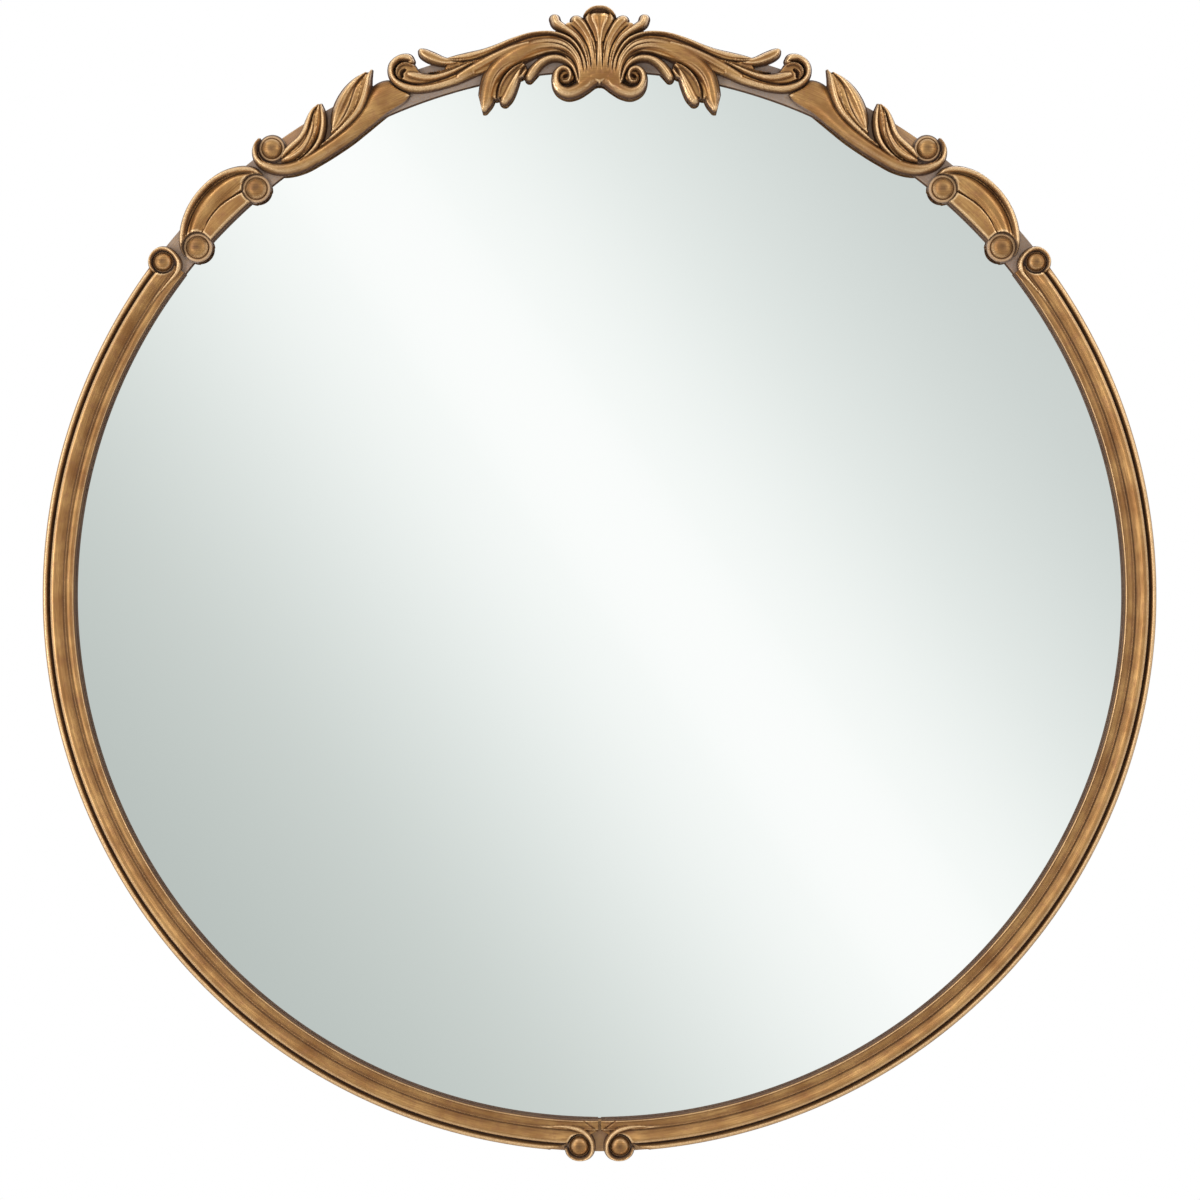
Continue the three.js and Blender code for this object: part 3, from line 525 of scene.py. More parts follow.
# %% Crest and arm forms
CUP = [[0, -20, 1.5, 6.5], [0, -8, 1.5, 7.6], [0, 4, 1.8, 8.4], [0, 13, 2.9, 9.2],
    [0, 18.6, 4.6, 10.4], [0, 24, 7.6, 11.4]]
CUP_RIM = [[-9.6, 26, 1, 9], [-8, 27.9, 1.5, 11], [-4.4, 30, 1.8, 12.6], [0, 30.7, 1.8, 13],
    [4.4, 30, 1.8, 12.6], [8, 27.9, 1.5, 11], [9.6, 26, 1, 9]]
STEM = [[0, 9, 3, 8.2], [0, 0, 4.6, 8.2], [0, -8, 6.6, 8], [0, -13.6, 6.8, 7.8]]
INNER_LOBE = [[4.4, -17, 1, 6.5], [4.5, -6, 1.4, 7.8], [5.3, 3, 2.2, 8.6], [7, 10.2, 3.3, 9.4],
    [9.8, 16.2, 4.3, 10], [12.7, 20.4, 4.7, 10.4], [15, 22.5, 4.4, 10]]
OUTER_LOBE = [[8, -16, 1, 6.5], [8.6, -5, 1.6, 8.2], [10.8, 3.6, 2.3, 9.2], [14.6, 10.4, 2.9, 9.8],
    [19.6, 15.3, 3.2, 10.2], [24.4, 18.6, 3.5, 10.6], [27.8, 21.4, 3.8, 11], [28.8, 24.7, 3.8, 10.8]]
CREST_RIM = [[10.2, -17, 0.8, 6], [10.9, -6, 1.2, 7.4], [13.4, 1.6, 1.6, 8.2], [17.6, 8, 1.9, 8.8],
    [23.6, 12.4, 2, 9.2], [33, 15.5, 1.9, 9.2], [45, 16, 1.8, 8.8], [57, 14, 2, 8.2],
    [68, 11.2, 2.3, 7.8], [78, 9.4, 2.7, 7.4], [88, 9, 3.1, 7], [96, 9.7, 2.5, 6.6],
    [102, 10.7, 1.3, 6]]
BAND = [[13.2, -19, 2.6, 6.6], [13.8, -9, 3.4, 8.2], [16.6, -0.8, 4.2, 9.4], [22.4, 5, 5.2, 10.2],
    [31, 7.6, 6.2, 10.8], [41, 7.4, 6.9, 10.8], [51, 5, 7.6, 10.4], [60, 1.6, 8.2, 9.8],
    [68, -2.4, 8, 9.4], [75, -8, 7.4, 9], [79.6, -15, 6.8, 8.4], [83, -22, 6, 7.8],
    [86.1, -27.7, 3.4, 7]]
LONG_LOBE = [[50, -12.6, 3.3, 7.6], [46, -8.4, 4, 8.4], [41, -4.4, 3.6, 8.8], [35, -1.9, 3.1, 9],
    [28.4, -2, 2.8, 9.2], [22.6, -4.8, 2.3, 9], [18.8, -9, 1.9, 8.6], [16.8, -14, 1.6, 8],
    [16, -18.4, 1.2, 7.4]]
VOLUTE = [[0, -16, 5, 7.8], [5.4, -17.4, 5.2, 7.9], [11, -21, 5.3, 8.2], [17, -24.4, 5, 8.8],
    [23.4, -25.7, 4.5, 9.2], [29, -23, 4, 9.4], [31.4, -17.6, 3.4, 9.4], [30.2, -12, 2.9, 9.4],
    [26.2, -9.2, 2.5, 9.4], [22.2, -10.7, 2.2, 9.4], [20.8, -14.8, 2, 9.4], [22.6, -18.5, 1.8, 9.2],
    [26, -18.5, 1.3, 9], [27.2, -15.6, 0.9, 8.6]]
HANGING_LOBE = [[55.4, -7, 1.4, 7.6], [58.8, -11.4, 3, 8.6], [63, -17, 4.2, 9], [67, -22.2, 4.6, 8.8],
    [70.2, -25.4, 4, 8]]
HANGING_RIM = [[53, -3.2, 0.8, 8.6], [59.4, -5.8, 1.4, 9.4], [65.4, -9.8, 1.6, 9.4],
    [69.8, -14.6, 1.5, 9], [72.6, -19.6, 1.2, 8.6], [73.8, -24, 0.7, 7.6]]
NOTCH_LEAF = [[51.6, -8, 1.4, 6.8], [54.4, -10.8, 1.6, 7.2], [57, -12, 1, 6.6]]
CUP_WEB = [[0, 10, 4, 7.2], [0, 17, 7, 7.6], [0, 22.3, 10, 8]]
FAN_WEB = [[0, -15, 5.6, 7.8], [5, -8.6, 7, 7.6], [9, 6, 7.5, 7.2], [13, 14, 7, 7.8], [19.4, 18, 4, 8]]
BAND_WEB = [[11, -18.6, 5.6, 7.8], [15, -6, 6, 7.2], [24, 7, 7, 7], [40, 8.4, 8.2, 7], [58, 5.4, 8.6, 6.6],
    [74, 3.6, 8, 6.2], [88, 2.4, 8, 5.4], [100, 1.2, 7.4, 5]]
HANGING_WEB = [[54, -6, 3.5, 5.6], [59, -10, 4, 5.6], [65, -14, 6, 6], [71.6, -18.4, 5.2, 6],
    [75.6, -21.4, 3, 5.6]]
EYE = [[22, -15, 4.5, 5], [26.6, -15.4, 4.5, 5]]
ARM_BAND = [[48, 9, 3.6, 10], [58, 7.4, 4.2, 9.6], [68, 5, 4.6, 9], [78, 2.2, 4.8, 8.4],
    [88, -0.6, 4.6, 7.8], [98, -3.4, 3.8, 7.4]]
ARM_SCROLL = [[88, -2, 4, 7.2], [100, -4.4, 3.4, 7], [112, -4.9, 3, 7.2], [122, -3.9, 3, 7.6],
    [130, -1.4, 3.2, 8], [136.4, 2.8, 3.2, 8.4], [140.3, 8.6, 2.6, 8.8], [140.6, 14.2, 2.5, 9],
    [137.6, 19.2, 2.8, 9.2], [132, 21.3, 2.9, 9.2], [127, 19.6, 3.4, 9], [125.7, 16.4, 3, 8]]
ARM_TONGUE = [[84, 4.6, 0.8, 7], [94, 2.6, 1.8, 7.4], [104, 1, 2.4, 7.8], [113, 1, 3, 8.2],
    [120.6, 2.9, 3.6, 8.8], [127, 6.6, 3.6, 9.2], [129.8, 8.4, 3, 9]]
ARM_EDGE = [[88, 5.3, 0.7, 7.6], [95, 4.3, 0.9, 8.4], [103, 3.7, 0.9, 8.6], [111, 4, 0.8, 8.8],
    [117, 5.5, 0.5, 8.6]]
ARM_CURL = [[125.8, 13.4, 1.2, 8], [128.6, 15.8, 1.3, 8.8], [132.6, 16.5, 1.3, 9],
    [136, 14.6, 1.3, 8.8], [137.4, 11.4, 1.2, 8.4], [136.6, 8.2, 0.9, 7.6]]
ARM_LOBE = [[92, 7, 1.6, 6.8], [99, 7.6, 2.7, 7.6], [105.6, 10, 3.6, 8.6],
    [111.4, 14.2, 4.4, 9.6], [115.7, 18.4, 4, 9.2], [117.2, 21, 2.4, 8]]
ARM_WEB = [[96, 0.6, 6.4, 5], [108, -0.6, 5, 5], [118, 0.6, 4.6, 5], [126, 5, 5, 5],
    [131, 12, 7.5, 5]]

# %% Crest and arm cuts, each with its depth
CREST_CUTS = [
    ([[-6.8, 26.4, 0.9], [-3.6, 27.7, 1.6], [0, 28.1, 1.8], [3.6, 27.7, 1.6], [6.8, 26.4, 0.9]], 3.4),
    ([[1.9, -12, 0.5], [2, -3, 0.5], [2.6, 5, 0.5], [4.2, 12, 0.6], [7, 18, 0.7], [9.6, 23.4, 0.8]], 2),
    ([[5.8, -13, 0.5], [6.4, -4, 0.5], [8.2, 4.2, 0.6], [11.8, 11.4, 0.7], [15.8, 16.4, 0.7],
     [19.6, 20.2, 0.8]], 2),
    ([[8.7, -14.4, 0.5], [9.6, -5, 0.5], [12.1, 2.6, 0.6], [16.2, 8.8, 0.7], [21.6, 13, 0.7],
     [28, 15.8, 0.8], [32.4, 17.8, 0.8]], 2),
    ([[3.2, -10, 0.5], [3.4, -2, 0.5], [4.4, 5, 0.5], [6.6, 11.6, 0.5], [9.4, 17, 0.5]], 1, 0.4),
    ([[7.4, -11, 0.5], [8.2, -3, 0.5], [10.4, 3.8, 0.5], [14.2, 9.8, 0.5], [19, 14.4, 0.5]], 1, 0.4),
    ([[10.8, -16, 0.5], [12.6, -4, 0.6], [16.4, 3.2, 0.7], [21.4, 8.8, 0.8], [27.4, 12.4, 0.9],
     [34, 13.9, 0.9], [45, 13.8, 1], [55, 11.9, 1.1], [65, 9.2, 1.2], [75, 6.7, 1.1], [85, 5.4, 0.9],
     [92, 6.1, 0.8], [98, 7.4, 0.6], [103, 9.8, 0.5]], 2.4, 0.1),
    ([[12, -16.6, 0.5], [14, -5, 0.5], [17.8, 2.2, 0.6], [23.4, 7.8, 0.6], [31, 10.7, 0.6],
     [41, 11.8, 0.6], [54, 10, 0.6]], 1.6, 0.5),
    ([[13, -17.6, 0.5], [14.8, -7.6, 0.5], [18.2, -0.4, 0.6], [23.8, 4.8, 0.6], [31, 7.4, 0.6],
     [39, 8.2, 0.6], [48, 7.4, 0.6]], 1.6, 0.5),
    ([[14, -18.6, 0.5], [15.7, -9.4, 0.5], [18.9, -3, 0.6], [24.4, 1.9, 0.6], [31, 4.2, 0.6],
     [40, 4.4, 0.6], [51, 1.8, 0.6]], 1.6, 0.5),
    ([[15, -19.6, 0.5], [15.6, -13.4, 0.6], [17.4, -7.2, 0.7], [21, -2.3, 0.8],
     [27, 0.9, 0.9], [35, 1.5, 0.9], [42, -0.3, 1], [48, -3.2, 1.1], [53.6, -6.8, 1.2],
     [56.4, -10.6, 1]], 2.6, 0.1),
    ([[17.2, -20, 0.5], [18.2, -14.6, 0.6], [20, -9.8, 0.7], [24.4, -6.4, 0.8], [29.6, -6.6, 0.8],
     [33.6, -9.6, 0.7]], 2),
    ([[18.6, -18.4, 0.5], [21.6, -21, 0.6], [26, -21.4, 0.6], [28.6, -18, 0.6], [28.4, -13.8, 0.6],
     [25.6, -11.8, 0.5]], 2),
    ([[50, -1.6, 0.5], [56, -3.4, 0.6], [62, -5.9, 0.7], [67.6, -9.8, 0.8], [71.8, -14.8, 0.9],
     [74.6, -20, 0.9], [76.2, -27, 1]], 2.4, 0.1),
    ([[56, -1.2, 0.5], [64, -3, 0.6], [71.6, -7.6, 0.6], [77, -14.2, 0.6], [80.4, -22, 0.5]], 0.8, 0.4),
    ([[72, 1.8, 0.5], [77.8, -3.4, 0.5], [82.6, -10.2, 0.5], [85.8, -18, 0.5], [87.2, -25, 0.5]], 1, 0.4),
    ([[84, 3.4, 0.7], [92, 1.6, 0.8], [100, -0.6, 0.8], [108, -1.5, 0.8], [116, -1.5, 0.8],
     [123, -0.5, 0.8], [129.6, 1.9, 0.8], [134.4, 5, 0.8], [137.8, 8.8, 0.7]], 2, 0.1),
    ([[125, 15.6, 0.6], [127.6, 17.6, 0.7], [131.6, 18.5, 0.7], [135.6, 17.6, 0.7], [138, 14.6, 0.6],
     [138.6, 10.6, 0.5]], 1.8),
    ([[23.4, -14.4, 1.4], [24.8, -15.2, 1.5]], 3, 0),
    ([[131.4, 12.4, 1.1], [134, 11.4, 1.6], [134.8, 8.8, 1.2]], 3.4, 0),
]

# %% Crest and arm pieces
ARM_START = 88.15  # where the crest's casting ends and the arms' begin
ARM_END = 145
FINE_GRID = 0.4
CREST_DEPTH, ARM_DEPTH = (-33, 34), (-12, 26)  # towards the glass and towards the rim
crest_field = carve([
    (CUP, dish), (CUP_RIM, round_form), (STEM, pillow), (CUP_WEB, plate), (INNER_LOBE, spoon),
    (OUTER_LOBE, pillow), (CREST_RIM, pillow), (BAND, pillow), (LONG_LOBE, pillow), (VOLUTE, pillow),
    (HANGING_LOBE, pillow), (HANGING_RIM, round_form), (NOTCH_LEAF, round_form), (FAN_WEB, plate),
    (BAND_WEB, plate), (HANGING_WEB, plate), (EYE, plate), (ARM_BAND, pillow), (ARM_SCROLL, pillow),
    (ARM_TONGUE, pillow), (ARM_EDGE, keel), (ARM_CURL, round_form), (ARM_LOBE, spoon), (ARM_WEB, plate),
], CREST_CUTS)


def crest_shape(s, out):
    return crest_field(np.abs(s), out)  # the same on both sides of the middle


crest_rows = lines(-ARM_START, ARM_START, FINE_GRID)
crest = relief("gilt_crest", crest_rows, lines(*CREST_DEPTH, FINE_GRID), crest_shape)
settle(crest, "antique_gilt", "crest_palmette")
arm_rows = lines(ARM_START, ARM_END, FINE_GRID)
casting_pair("arm", "crest_arm", arm_rows, lines(*ARM_DEPTH, FINE_GRID), crest_shape)

# %% [markdown]
# ## The leaf sprays
# A smooth band swells out of the arm, runs under two ribbed leaves and ends in a scroll round a
# bead. Each leaf is a broad soft body with strokes on it for its near and far half, a thin rib
# between them that catches the light, and fine veins cut last. The bead is turned and glued in, so
# the casting has a low flat seat for it. The spray stops a hair's breadth before the arm's outline.

# %% Spray strokes
SPRAY_BAND = [[135, -4.4, 1.2, 4], [141, -1.6, 6.8, 5], [148, 0.9, 10.6, 5.6], [156, -0.4, 10.4, 6],
    [164, -4.2, 8.6, 6.2], [174, -8.4, 6.8, 6.6], [186, -11.4, 6, 7], [200, -12.9, 5.5, 7.2],
    [212, -13.1, 5.2, 7.4], [223, -12.2, 5.1, 7.8], [233, -9.2, 4.7, 8.3], [240.6, -4.2, 4.1, 8.8],
    [245.3, 2.4, 3.4, 9], [246.6, 8, 2.7, 9], [245, 13.4, 2.1, 8.6], [241.6, 17.2, 1.6, 8.2],
    [237.4, 18.8, 1.1, 7.6]]
LEAF_NEAR = [[151.6, 20.8, 1, 7.4], [155.2, 17.4, 2.6, 9], [159.4, 11.8, 3.8, 10],
    [164.4, 5.6, 3.9, 10.2], [170.6, 0.3, 3.9, 10], [178.4, -3.5, 3.2, 9.4], [187, -6.3, 2.5, 8.8],
    [197, -8.2, 1.9, 8], [206, -9.2, 0.9, 7.4]]
LEAF_FAR = [[155.6, 20.6, 1.2, 7.6], [162.6, 18.8, 2.8, 9.4], [170, 15.2, 4.2, 10.2],
    [176.8, 10.6, 5, 10.4], [182.8, 5.6, 5, 10], [187.6, 1, 3.9, 9.4], [191.2, -2.4, 2, 8.6],
    [193, -4.2, 0.8, 7.6]]
LEAF_RIB = [[157, 18.4, 0.8, 9.2], [161.4, 14.2, 1.2, 10.6], [165.4, 9.2, 1.4, 11],
    [169.8, 4.2, 1.4, 11], [175.4, -0.5, 1.4, 10.8], [182, -4, 1.2, 10.2], [189.4, -5.8, 1, 9.4],
    [197, -6.4, 0.6, 8.4]]
LEAFLET_NEAR = [[191.3, 15.2, 1.3, 7.4], [193.2, 9.4, 2.5, 8.6], [196, 3.8, 2.8, 9],
    [199.8, -1.2, 2.8, 9], [204.6, -5.4, 2.6, 8.8], [211, -8.3, 2.2, 8.4], [219, -9.6, 1.6, 8],
    [226, -9.4, 0.8, 7.6]]
LEAFLET_RIB = [[193.6, 14.2, 0.8, 9], [196.8, 8.8, 1.2, 10.2], [200.2, 4.2, 1.4, 10.7],
    [204, 0.2, 1.4, 10.6], [208.8, -3.8, 1.4, 10.2], [214.6, -6.7, 1.2, 9.8], [221, -8, 0.9, 9.2],
    [227, -7.6, 0.6, 8.6]]
LEAFLET_STRIP = [[196.6, 13.2, 0.9, 8.8], [201, 8.2, 1.2, 9.4], [205, 3.6, 1.3, 9.4],
    [209.2, -0.2, 1.3, 9.2], [214, -3, 1.4, 9], [220, -4.7, 1.5, 8.8], [227, -4.6, 1.4, 8.6],
    [233, -3, 0.8, 8.4]]
LEAFLET_FAR = [[192.6, 15.9, 1.1, 8], [198.4, 14, 2.1, 9.6], [204, 9.6, 2.8, 10.4],
    [209, 5.3, 3.1, 10.6], [214.6, 2.6, 3.1, 10.4], [221, 1.6, 3.2, 10], [227, 0.8, 2.9, 9.4],
    [232, -0.6, 1.4, 8.8]]
LEAF_BODY = [[156, 18.6, 2.2, 8], [160.6, 14.6, 5.2, 9], [167.4, 9.6, 7.8, 9.5], [174, 4.6, 7.8, 9.5],
    [181.4, 0.4, 6, 9.2], [188, -3, 3.6, 8.6], [194, -5, 1.6, 7.8]]
LEAFLET_BODY = [[192.8, 15, 1.6, 7.6], [196.4, 10.4, 4.2, 8.6], [200.8, 5.6, 6, 9.1],
    [205.8, 1.6, 6.6, 9.2], [211.8, -1.6, 6.2, 9.1], [219, -3.4, 5.6, 8.8], [227, -3.8, 4.2, 8.4],
    [233, -3, 2, 7.8]]
SCROLL_LIP = [[240.6, -0.4, 0.5, 8], [243.6, 3.4, 0.8, 9], [244.3, 8.2, 0.8, 9.2],
    [242.9, 12.6, 0.6, 8.8]]
SPRAY_CUTS = [
    ([[160, 18.9, 0.5], [165.6, 14.6, 0.6], [170.6, 9.4, 0.7], [175.4, 4.6, 0.7], [181, 0.3, 0.7],
     [187, -2.9, 0.6], [192, -4.5, 0.5]], 1.2, 0.3),
    ([[196, 14.4, 0.5], [199.6, 8.8, 0.6], [202.9, 4, 0.7], [206.8, 0, 0.7], [211.6, -3.2, 0.7],
     [217.6, -5.9, 0.6], [224, -6.6, 0.6], [231, -5.4, 0.5]], 1, 0.3),
    ([[197.4, 14, 0.5], [202.4, 8.8, 0.6], [206.8, 4.4, 0.7], [211, 1, 0.7], [216.6, -1.6, 0.7],
     [223, -2.6, 0.6], [230, -2.4, 0.5]], 1, 0.3),
    ([[152.6, 18, 0.5], [155.4, 13.4, 0.5], [159.2, 7.6, 0.5], [164.6, 1.6, 0.5], [172, -3.4, 0.5],
     [181, -6.8, 0.5]], 0.6, 0.4),
]
SPRAY_BEAD = (234.3, 8.6, 8.9)
spray_field = carve([
    (SPRAY_BAND, pillow), (LEAF_BODY, pillow), (LEAF_NEAR, pillow), (LEAF_RIB, keel),
    (LEAF_FAR, pillow), (LEAFLET_BODY, pillow), (LEAFLET_NEAR, pillow), (LEAFLET_RIB, keel),
    (LEAFLET_STRIP, round_form), (LEAFLET_FAR, pillow), (SCROLL_LIP, keel),
], SPRAY_CUTS)
arm_outline = carve([(ARM_SCROLL, round_form), (ARM_TONGUE, round_form), (ARM_WEB, plate)])
print("the two leaves take", len(SPRAY_CUTS), "cuts")

# %% Seats for beads
BEAD_SEAT = 0.6  # casting that shows round the foot of a bead, in millimetres
SEAT_PLAY = 0.1  # the seat is this much wider than the bead
SEAT_LINE, SEAT_GLAZE_AND_SHADE = 0.4, 0.5  # glaze and painted shade lie this far out round the bead


def with_seats(field, *beads):
    """A field with a low flat seat under each bead, as a casting has where a bead is glued in."""

    def shape(s, out):
        height, cover, glaze_and_shade = field(s, out)
        for bead_s, bead_out, radius in beads:
            away = np.hypot(s - bead_s, out - bead_out) - radius
            height = np.where(away < SEAT_PLAY, SEAT_RISE, height)
            glaze_and_shade = np.where(away < SEAT_LINE, SEAT_GLAZE_AND_SHADE, glaze_and_shade)
            cover = np.maximum(cover, BEAD_SEAT - away)
        return height, cover, glaze_and_shade

    return shape


seated_spray = with_seats(spray_field, SPRAY_BEAD)
print("bead seats show", BEAD_SEAT, "mm")

# %% Spray pieces
JOINT = 0.3  # air between castings
SPRAY_LENGTH, SPRAY_DEPTH = (130, 250), (-20, 24)


def spray_shape(s, out):
    height, cover, glaze_and_shade = seated_spray(s, out)
    _, arm_cover, _ = arm_outline(s, out)
    return height, np.minimum(cover, -arm_cover - JOINT), glaze_and_shade


casting_pair("spray", "leaf_spray", lines(*SPRAY_LENGTH, GRID), lines(*SPRAY_DEPTH, GRID), spray_shape)

# %% [markdown]
# ## The shoulders
# An arched rim goes round a smooth raised panel, and a thin flat apron closes it towards the glass.
# One fine line is cut between panel and apron, and another where the panel meets the rim. A bead
# sits at each end.

# %% Shoulder strokes
SHOULDER_RIM = [[251.4, -1, 1.8, 6.6], [253, 4, 2.6, 7.6], [257.4, 8.6, 3, 8.4], [263.4, 12.6, 3, 9],
    [271, 15.7, 2.9, 9.6], [280, 17.2, 2.8, 10], [290, 17, 2.8, 10], [299.6, 15.2, 2.8, 9.8],
    [308.4, 11.9, 2.8, 9.4], [315.8, 7.8, 2.7, 9], [321.8, 3.2, 2.5, 8.6], [325.6, -2, 2.2, 8],
    [326.9, -7, 1.5, 7.2]]
SHOULDER_PANEL = [[258, 2.6, 4, 6.6], [266, 6.2, 6, 7.2], [275, 7.6, 7.4, 7.6], [286, 7.9, 7.6, 7.8],
    [296, 6.7, 7.4, 7.6], [305, 4.2, 6.5, 7.2], [314, 0.4, 4.8, 6.6]]
SHOULDER_APRON = [[263, -7.6, 3.3, 6], [272, -5.8, 5.1, 6.2], [286, -4.7, 6.2, 6.4],
    [300, -5.3, 5.6, 6.2], [312, -7.7, 3.2, 6]]
SHOULDER_WEB = [[254, 0, 2.6, 4.6], [262, 4, 6, 5], [274, 7, 8, 5.4], [287, 7.6, 8.4, 5.4],
    [300, 5.8, 8, 5.4], [312, 2.4, 6.2, 5], [321.6, -2, 4, 4.6]]
UPPER_BEAD = (259.5, -6.3, 9.8)
LOWER_BEAD = (317.4, -6.7, 10.2)
SHOULDER_CUTS = [
    ([[269, -2, 0.4], [275, -0.3, 0.45], [282, 1.1, 0.45], [288, 1.3, 0.45], [294, 0.8, 0.45],
     [300, -0.5, 0.45], [307.6, -3.2, 0.4]], 1.3),
    ([[254.4, 2.6, 0.4], [261, 7.8, 0.45], [269.6, 11.7, 0.5], [279, 13.5, 0.5], [287, 13.8, 0.5],
     [296, 12.5, 0.5], [305, 9.9, 0.5], [313, 6.3, 0.5], [319.4, 2.4, 0.4]], 1.4),
]
SHOULDER_LENGTH, SHOULDER_DEPTH = (248, 331), (-14, 22)
shoulder_field = carve([
    (SHOULDER_RIM, pillow), (SHOULDER_PANEL, pillow), (SHOULDER_APRON, plate), (SHOULDER_WEB, plate),
], SHOULDER_CUTS)
shoulder_shape = with_seats(shoulder_field, UPPER_BEAD, LOWER_BEAD)
shoulder_rows = lines(*SHOULDER_LENGTH, GRID)
casting_pair("shoulder", "shoulder", shoulder_rows, lines(*SHOULDER_DEPTH, GRID), shoulder_shape)

# %% [markdown]
# ## The banded mouldings
# Down each side a run moulding follows the ring: an outer roll, a deep groove, a broad hollowed
# band, a fine fillet, a flat and the sight lip. It could be swept along the circle, but its ends
# melt into scrolls that are drawn strokes. So it is a height field too, with rows packed closely at
# the scrolls and spaced widely along the plain run.

# %% Moulding profile
MOULDING_RISE = 7.4
EDGE = RING_WIDTH / MM / 2
RUN_GLAZE_AND_SHADE = 0.8
# how far in from the rim, share of the rise, and how much brown glaze and painted shade lies there
PROFILE = [[0, 0.3, 0.3], [0.5, 0.48, 0], [1.3, 0.66, 0], [2.2, 0.72, 0], [3.1, 0.64, 0.1],
    [3.9, 0.48, 0.4], [4.5, 0.24, 0.9], [5.2, 0.2, 1], [5.6, 0.4, 0.8], [5.9, 0.78, 0.1],
    [6.6, 0.91, 0], [7.6, 0.99, 0], [8.8, 1.0, 0], [10.2, 0.93, 0.05], [11.8, 0.77, 0.15],
    [13.2, 0.6, 0.3], [14.5, 0.5, 0.45], [15.1, 0.52, 0.5], [15.4, 0.68, 0], [15.9, 0.7, 0],
    [16.2, 0.52, 0.5], [16.8, 0.5, 0.3], [18.6, 0.53, 0.1], [20.4, 0.5, 0.4], [20.9, 0.6, 0],
    [21.5, 0.56, 0.2], [2 * EDGE, 0.42, 0.8]]


def run_section(out):
    inwards, rises, glazes_and_shade = np.array(PROFILE).T
    place = EDGE - out
    return MOULDING_RISE * np.interp(place, inwards, rises), RUN_GLAZE_AND_SHADE * np.interp(place, inwards, glazes_and_shade)


print("moulding", round(2 * EDGE, 1), "mm wide,", MOULDING_RISE, "mm high")

# %% Scrolls at the ends
SIDE_CURL = [[374, -4.8, 0.8, 4.4], [360, -5.3, 1.3, 4.9], [348, -6.4, 1.9, 5.2], [340.4, -6.6, 2.3, 5.6],
    [334.3, -3.8, 2.3, 6.2], [331.6, 1.6, 1.9, 6.6], [331.5, 7.6, 1.8, 6.8], [334, 12.2, 1.7, 7],
    [338.8, 14.3, 1.6, 7], [343.8, 13.6, 1.5, 6.8], [347.4, 10.4, 1.4, 6.4], [348.8, 6.4, 1.2, 6]]
SIDE_BEAD = (340.1, 5.4, 7.2)
FOOT_CURL = [[46, -4.8, 0.8, 4.4], [34, -5.4, 1.3, 4.9], [26, -6, 1.9, 5.2], [20, -5.7, 2.3, 5.8],
    [13.5, -4.2, 2.5, 6.4], [8.4, -0.9, 2.4, 7], [5.3, 4, 2.3, 7.4], [4.9, 9.6, 2, 7.4],
    [7.2, 13.9, 1.8, 7.2], [11.6, 16, 1.5, 7], [16.6, 15.6, 1.5, 6.8], [20.4, 13, 1.4, 6.6],
    [22.4, 9, 1.2, 6.2]]
FOOT_BEAD = (HALF_ROUND - 13.6, 6.8, 7.4)
MEETING_CUT = [[0.4, -3.4, 0.6], [4.8, -6, 0.7], [11, -10.4, 0.6]]


def from_bottom(rows):
    """Turns places measured from the bottom of the ring into places on the strip."""
    return [[HALF_ROUND - s, *rest] for s, *rest in rows]


curl_field = carve([(SIDE_CURL, round_form), (from_bottom(FOOT_CURL), round_form)])
meeting_cut = from_bottom(MEETING_CUT)
print("the scrolls wind round beads at", SIDE_BEAD[0], "and", round(FOOT_BEAD[0], 1), "mm")

# %% Moulding pieces
SCROLL_R = 8.2  # from a bead to the crest of the scroll round it
MOULDING_FROM = 337
RISES_OVER = 9  # the run comes up to its height over this length
RISES_FROM = 0.8  # from this share of its height
MEETING = 0.3  # from the bottom of the ring to the ends of the two sides
MEETING_OUT, MEETING_SLOPE = -4, 2.2  # the ends part from there towards the rim
# depth of the cut where the two sides meet, and the brown glaze and painted shade it holds
MEETING_DEPTH, MEETING_GLAZE_AND_SHADE = 0.9, 0.5


def run_and_curls(s, out):
    height, cover, glaze_and_shade = curl_field(s, out)
    from_side = np.hypot(s - SIDE_BEAD[0], out - SIDE_BEAD[1]) - SCROLL_R
    from_foot = np.hypot(s - FOOT_BEAD[0], out - FOOT_BEAD[1]) - SCROLL_R
    meeting = HALF_ROUND - MEETING - s - MEETING_SLOPE * np.clip(out - MEETING_OUT, 0, None)
    ends = np.minimum(np.minimum(from_side, s - MOULDING_FROM), np.minimum(from_foot, meeting))
    run_cover = np.minimum(EDGE - np.abs(out), ends)
    risen = np.clip(ends / RISES_OVER, 0, 1)
    rise, run_glaze_and_shade = run_section(out)
    run = rise * (RISES_FROM + (1 - RISES_FROM) * risen * risen * (3 - 2 * risen))
    plain = (run_cover > 0) & (run > height)
    height = np.where(plain, run, height)
    glaze_and_shade = np.where(plain, np.maximum(glaze_and_shade, run_glaze_and_shade), glaze_and_shade)
    cut = cut_share(meeting_cut, 0, s.ravel(), out.ravel()).reshape(s.shape)
    glaze_and_shade = np.maximum(glaze_and_shade, MEETING_GLAZE_AND_SHADE * cut)
    return height - MEETING_DEPTH * cut, np.maximum(cover, run_cover), glaze_and_shade


SCROLL_GRID = 0.9 * GRID
RUN_STEP = 4.0  # rows along the plain run
SIDE_START, SIDE_END = 326, 366  # close rows at the upper scroll
FOOT_START, FOOT_END = HALF_ROUND - 42, HALF_ROUND - 1  # and at the lower one
MOULDING_DEPTH = (-12, 19)
rows = np.concatenate([
    lines(SIDE_START, SIDE_END, SCROLL_GRID)[:-1],
    lines(SIDE_END, FOOT_START, RUN_STEP)[:-1],
    lines(FOOT_START, FOOT_END, SCROLL_GRID),
])
moulding_shape = with_seats(run_and_curls, SIDE_BEAD, FOOT_BEAD)
casting_pair("moulding", "moulding", rows, lines(*MOULDING_DEPTH, SCROLL_GRID), moulding_shape)
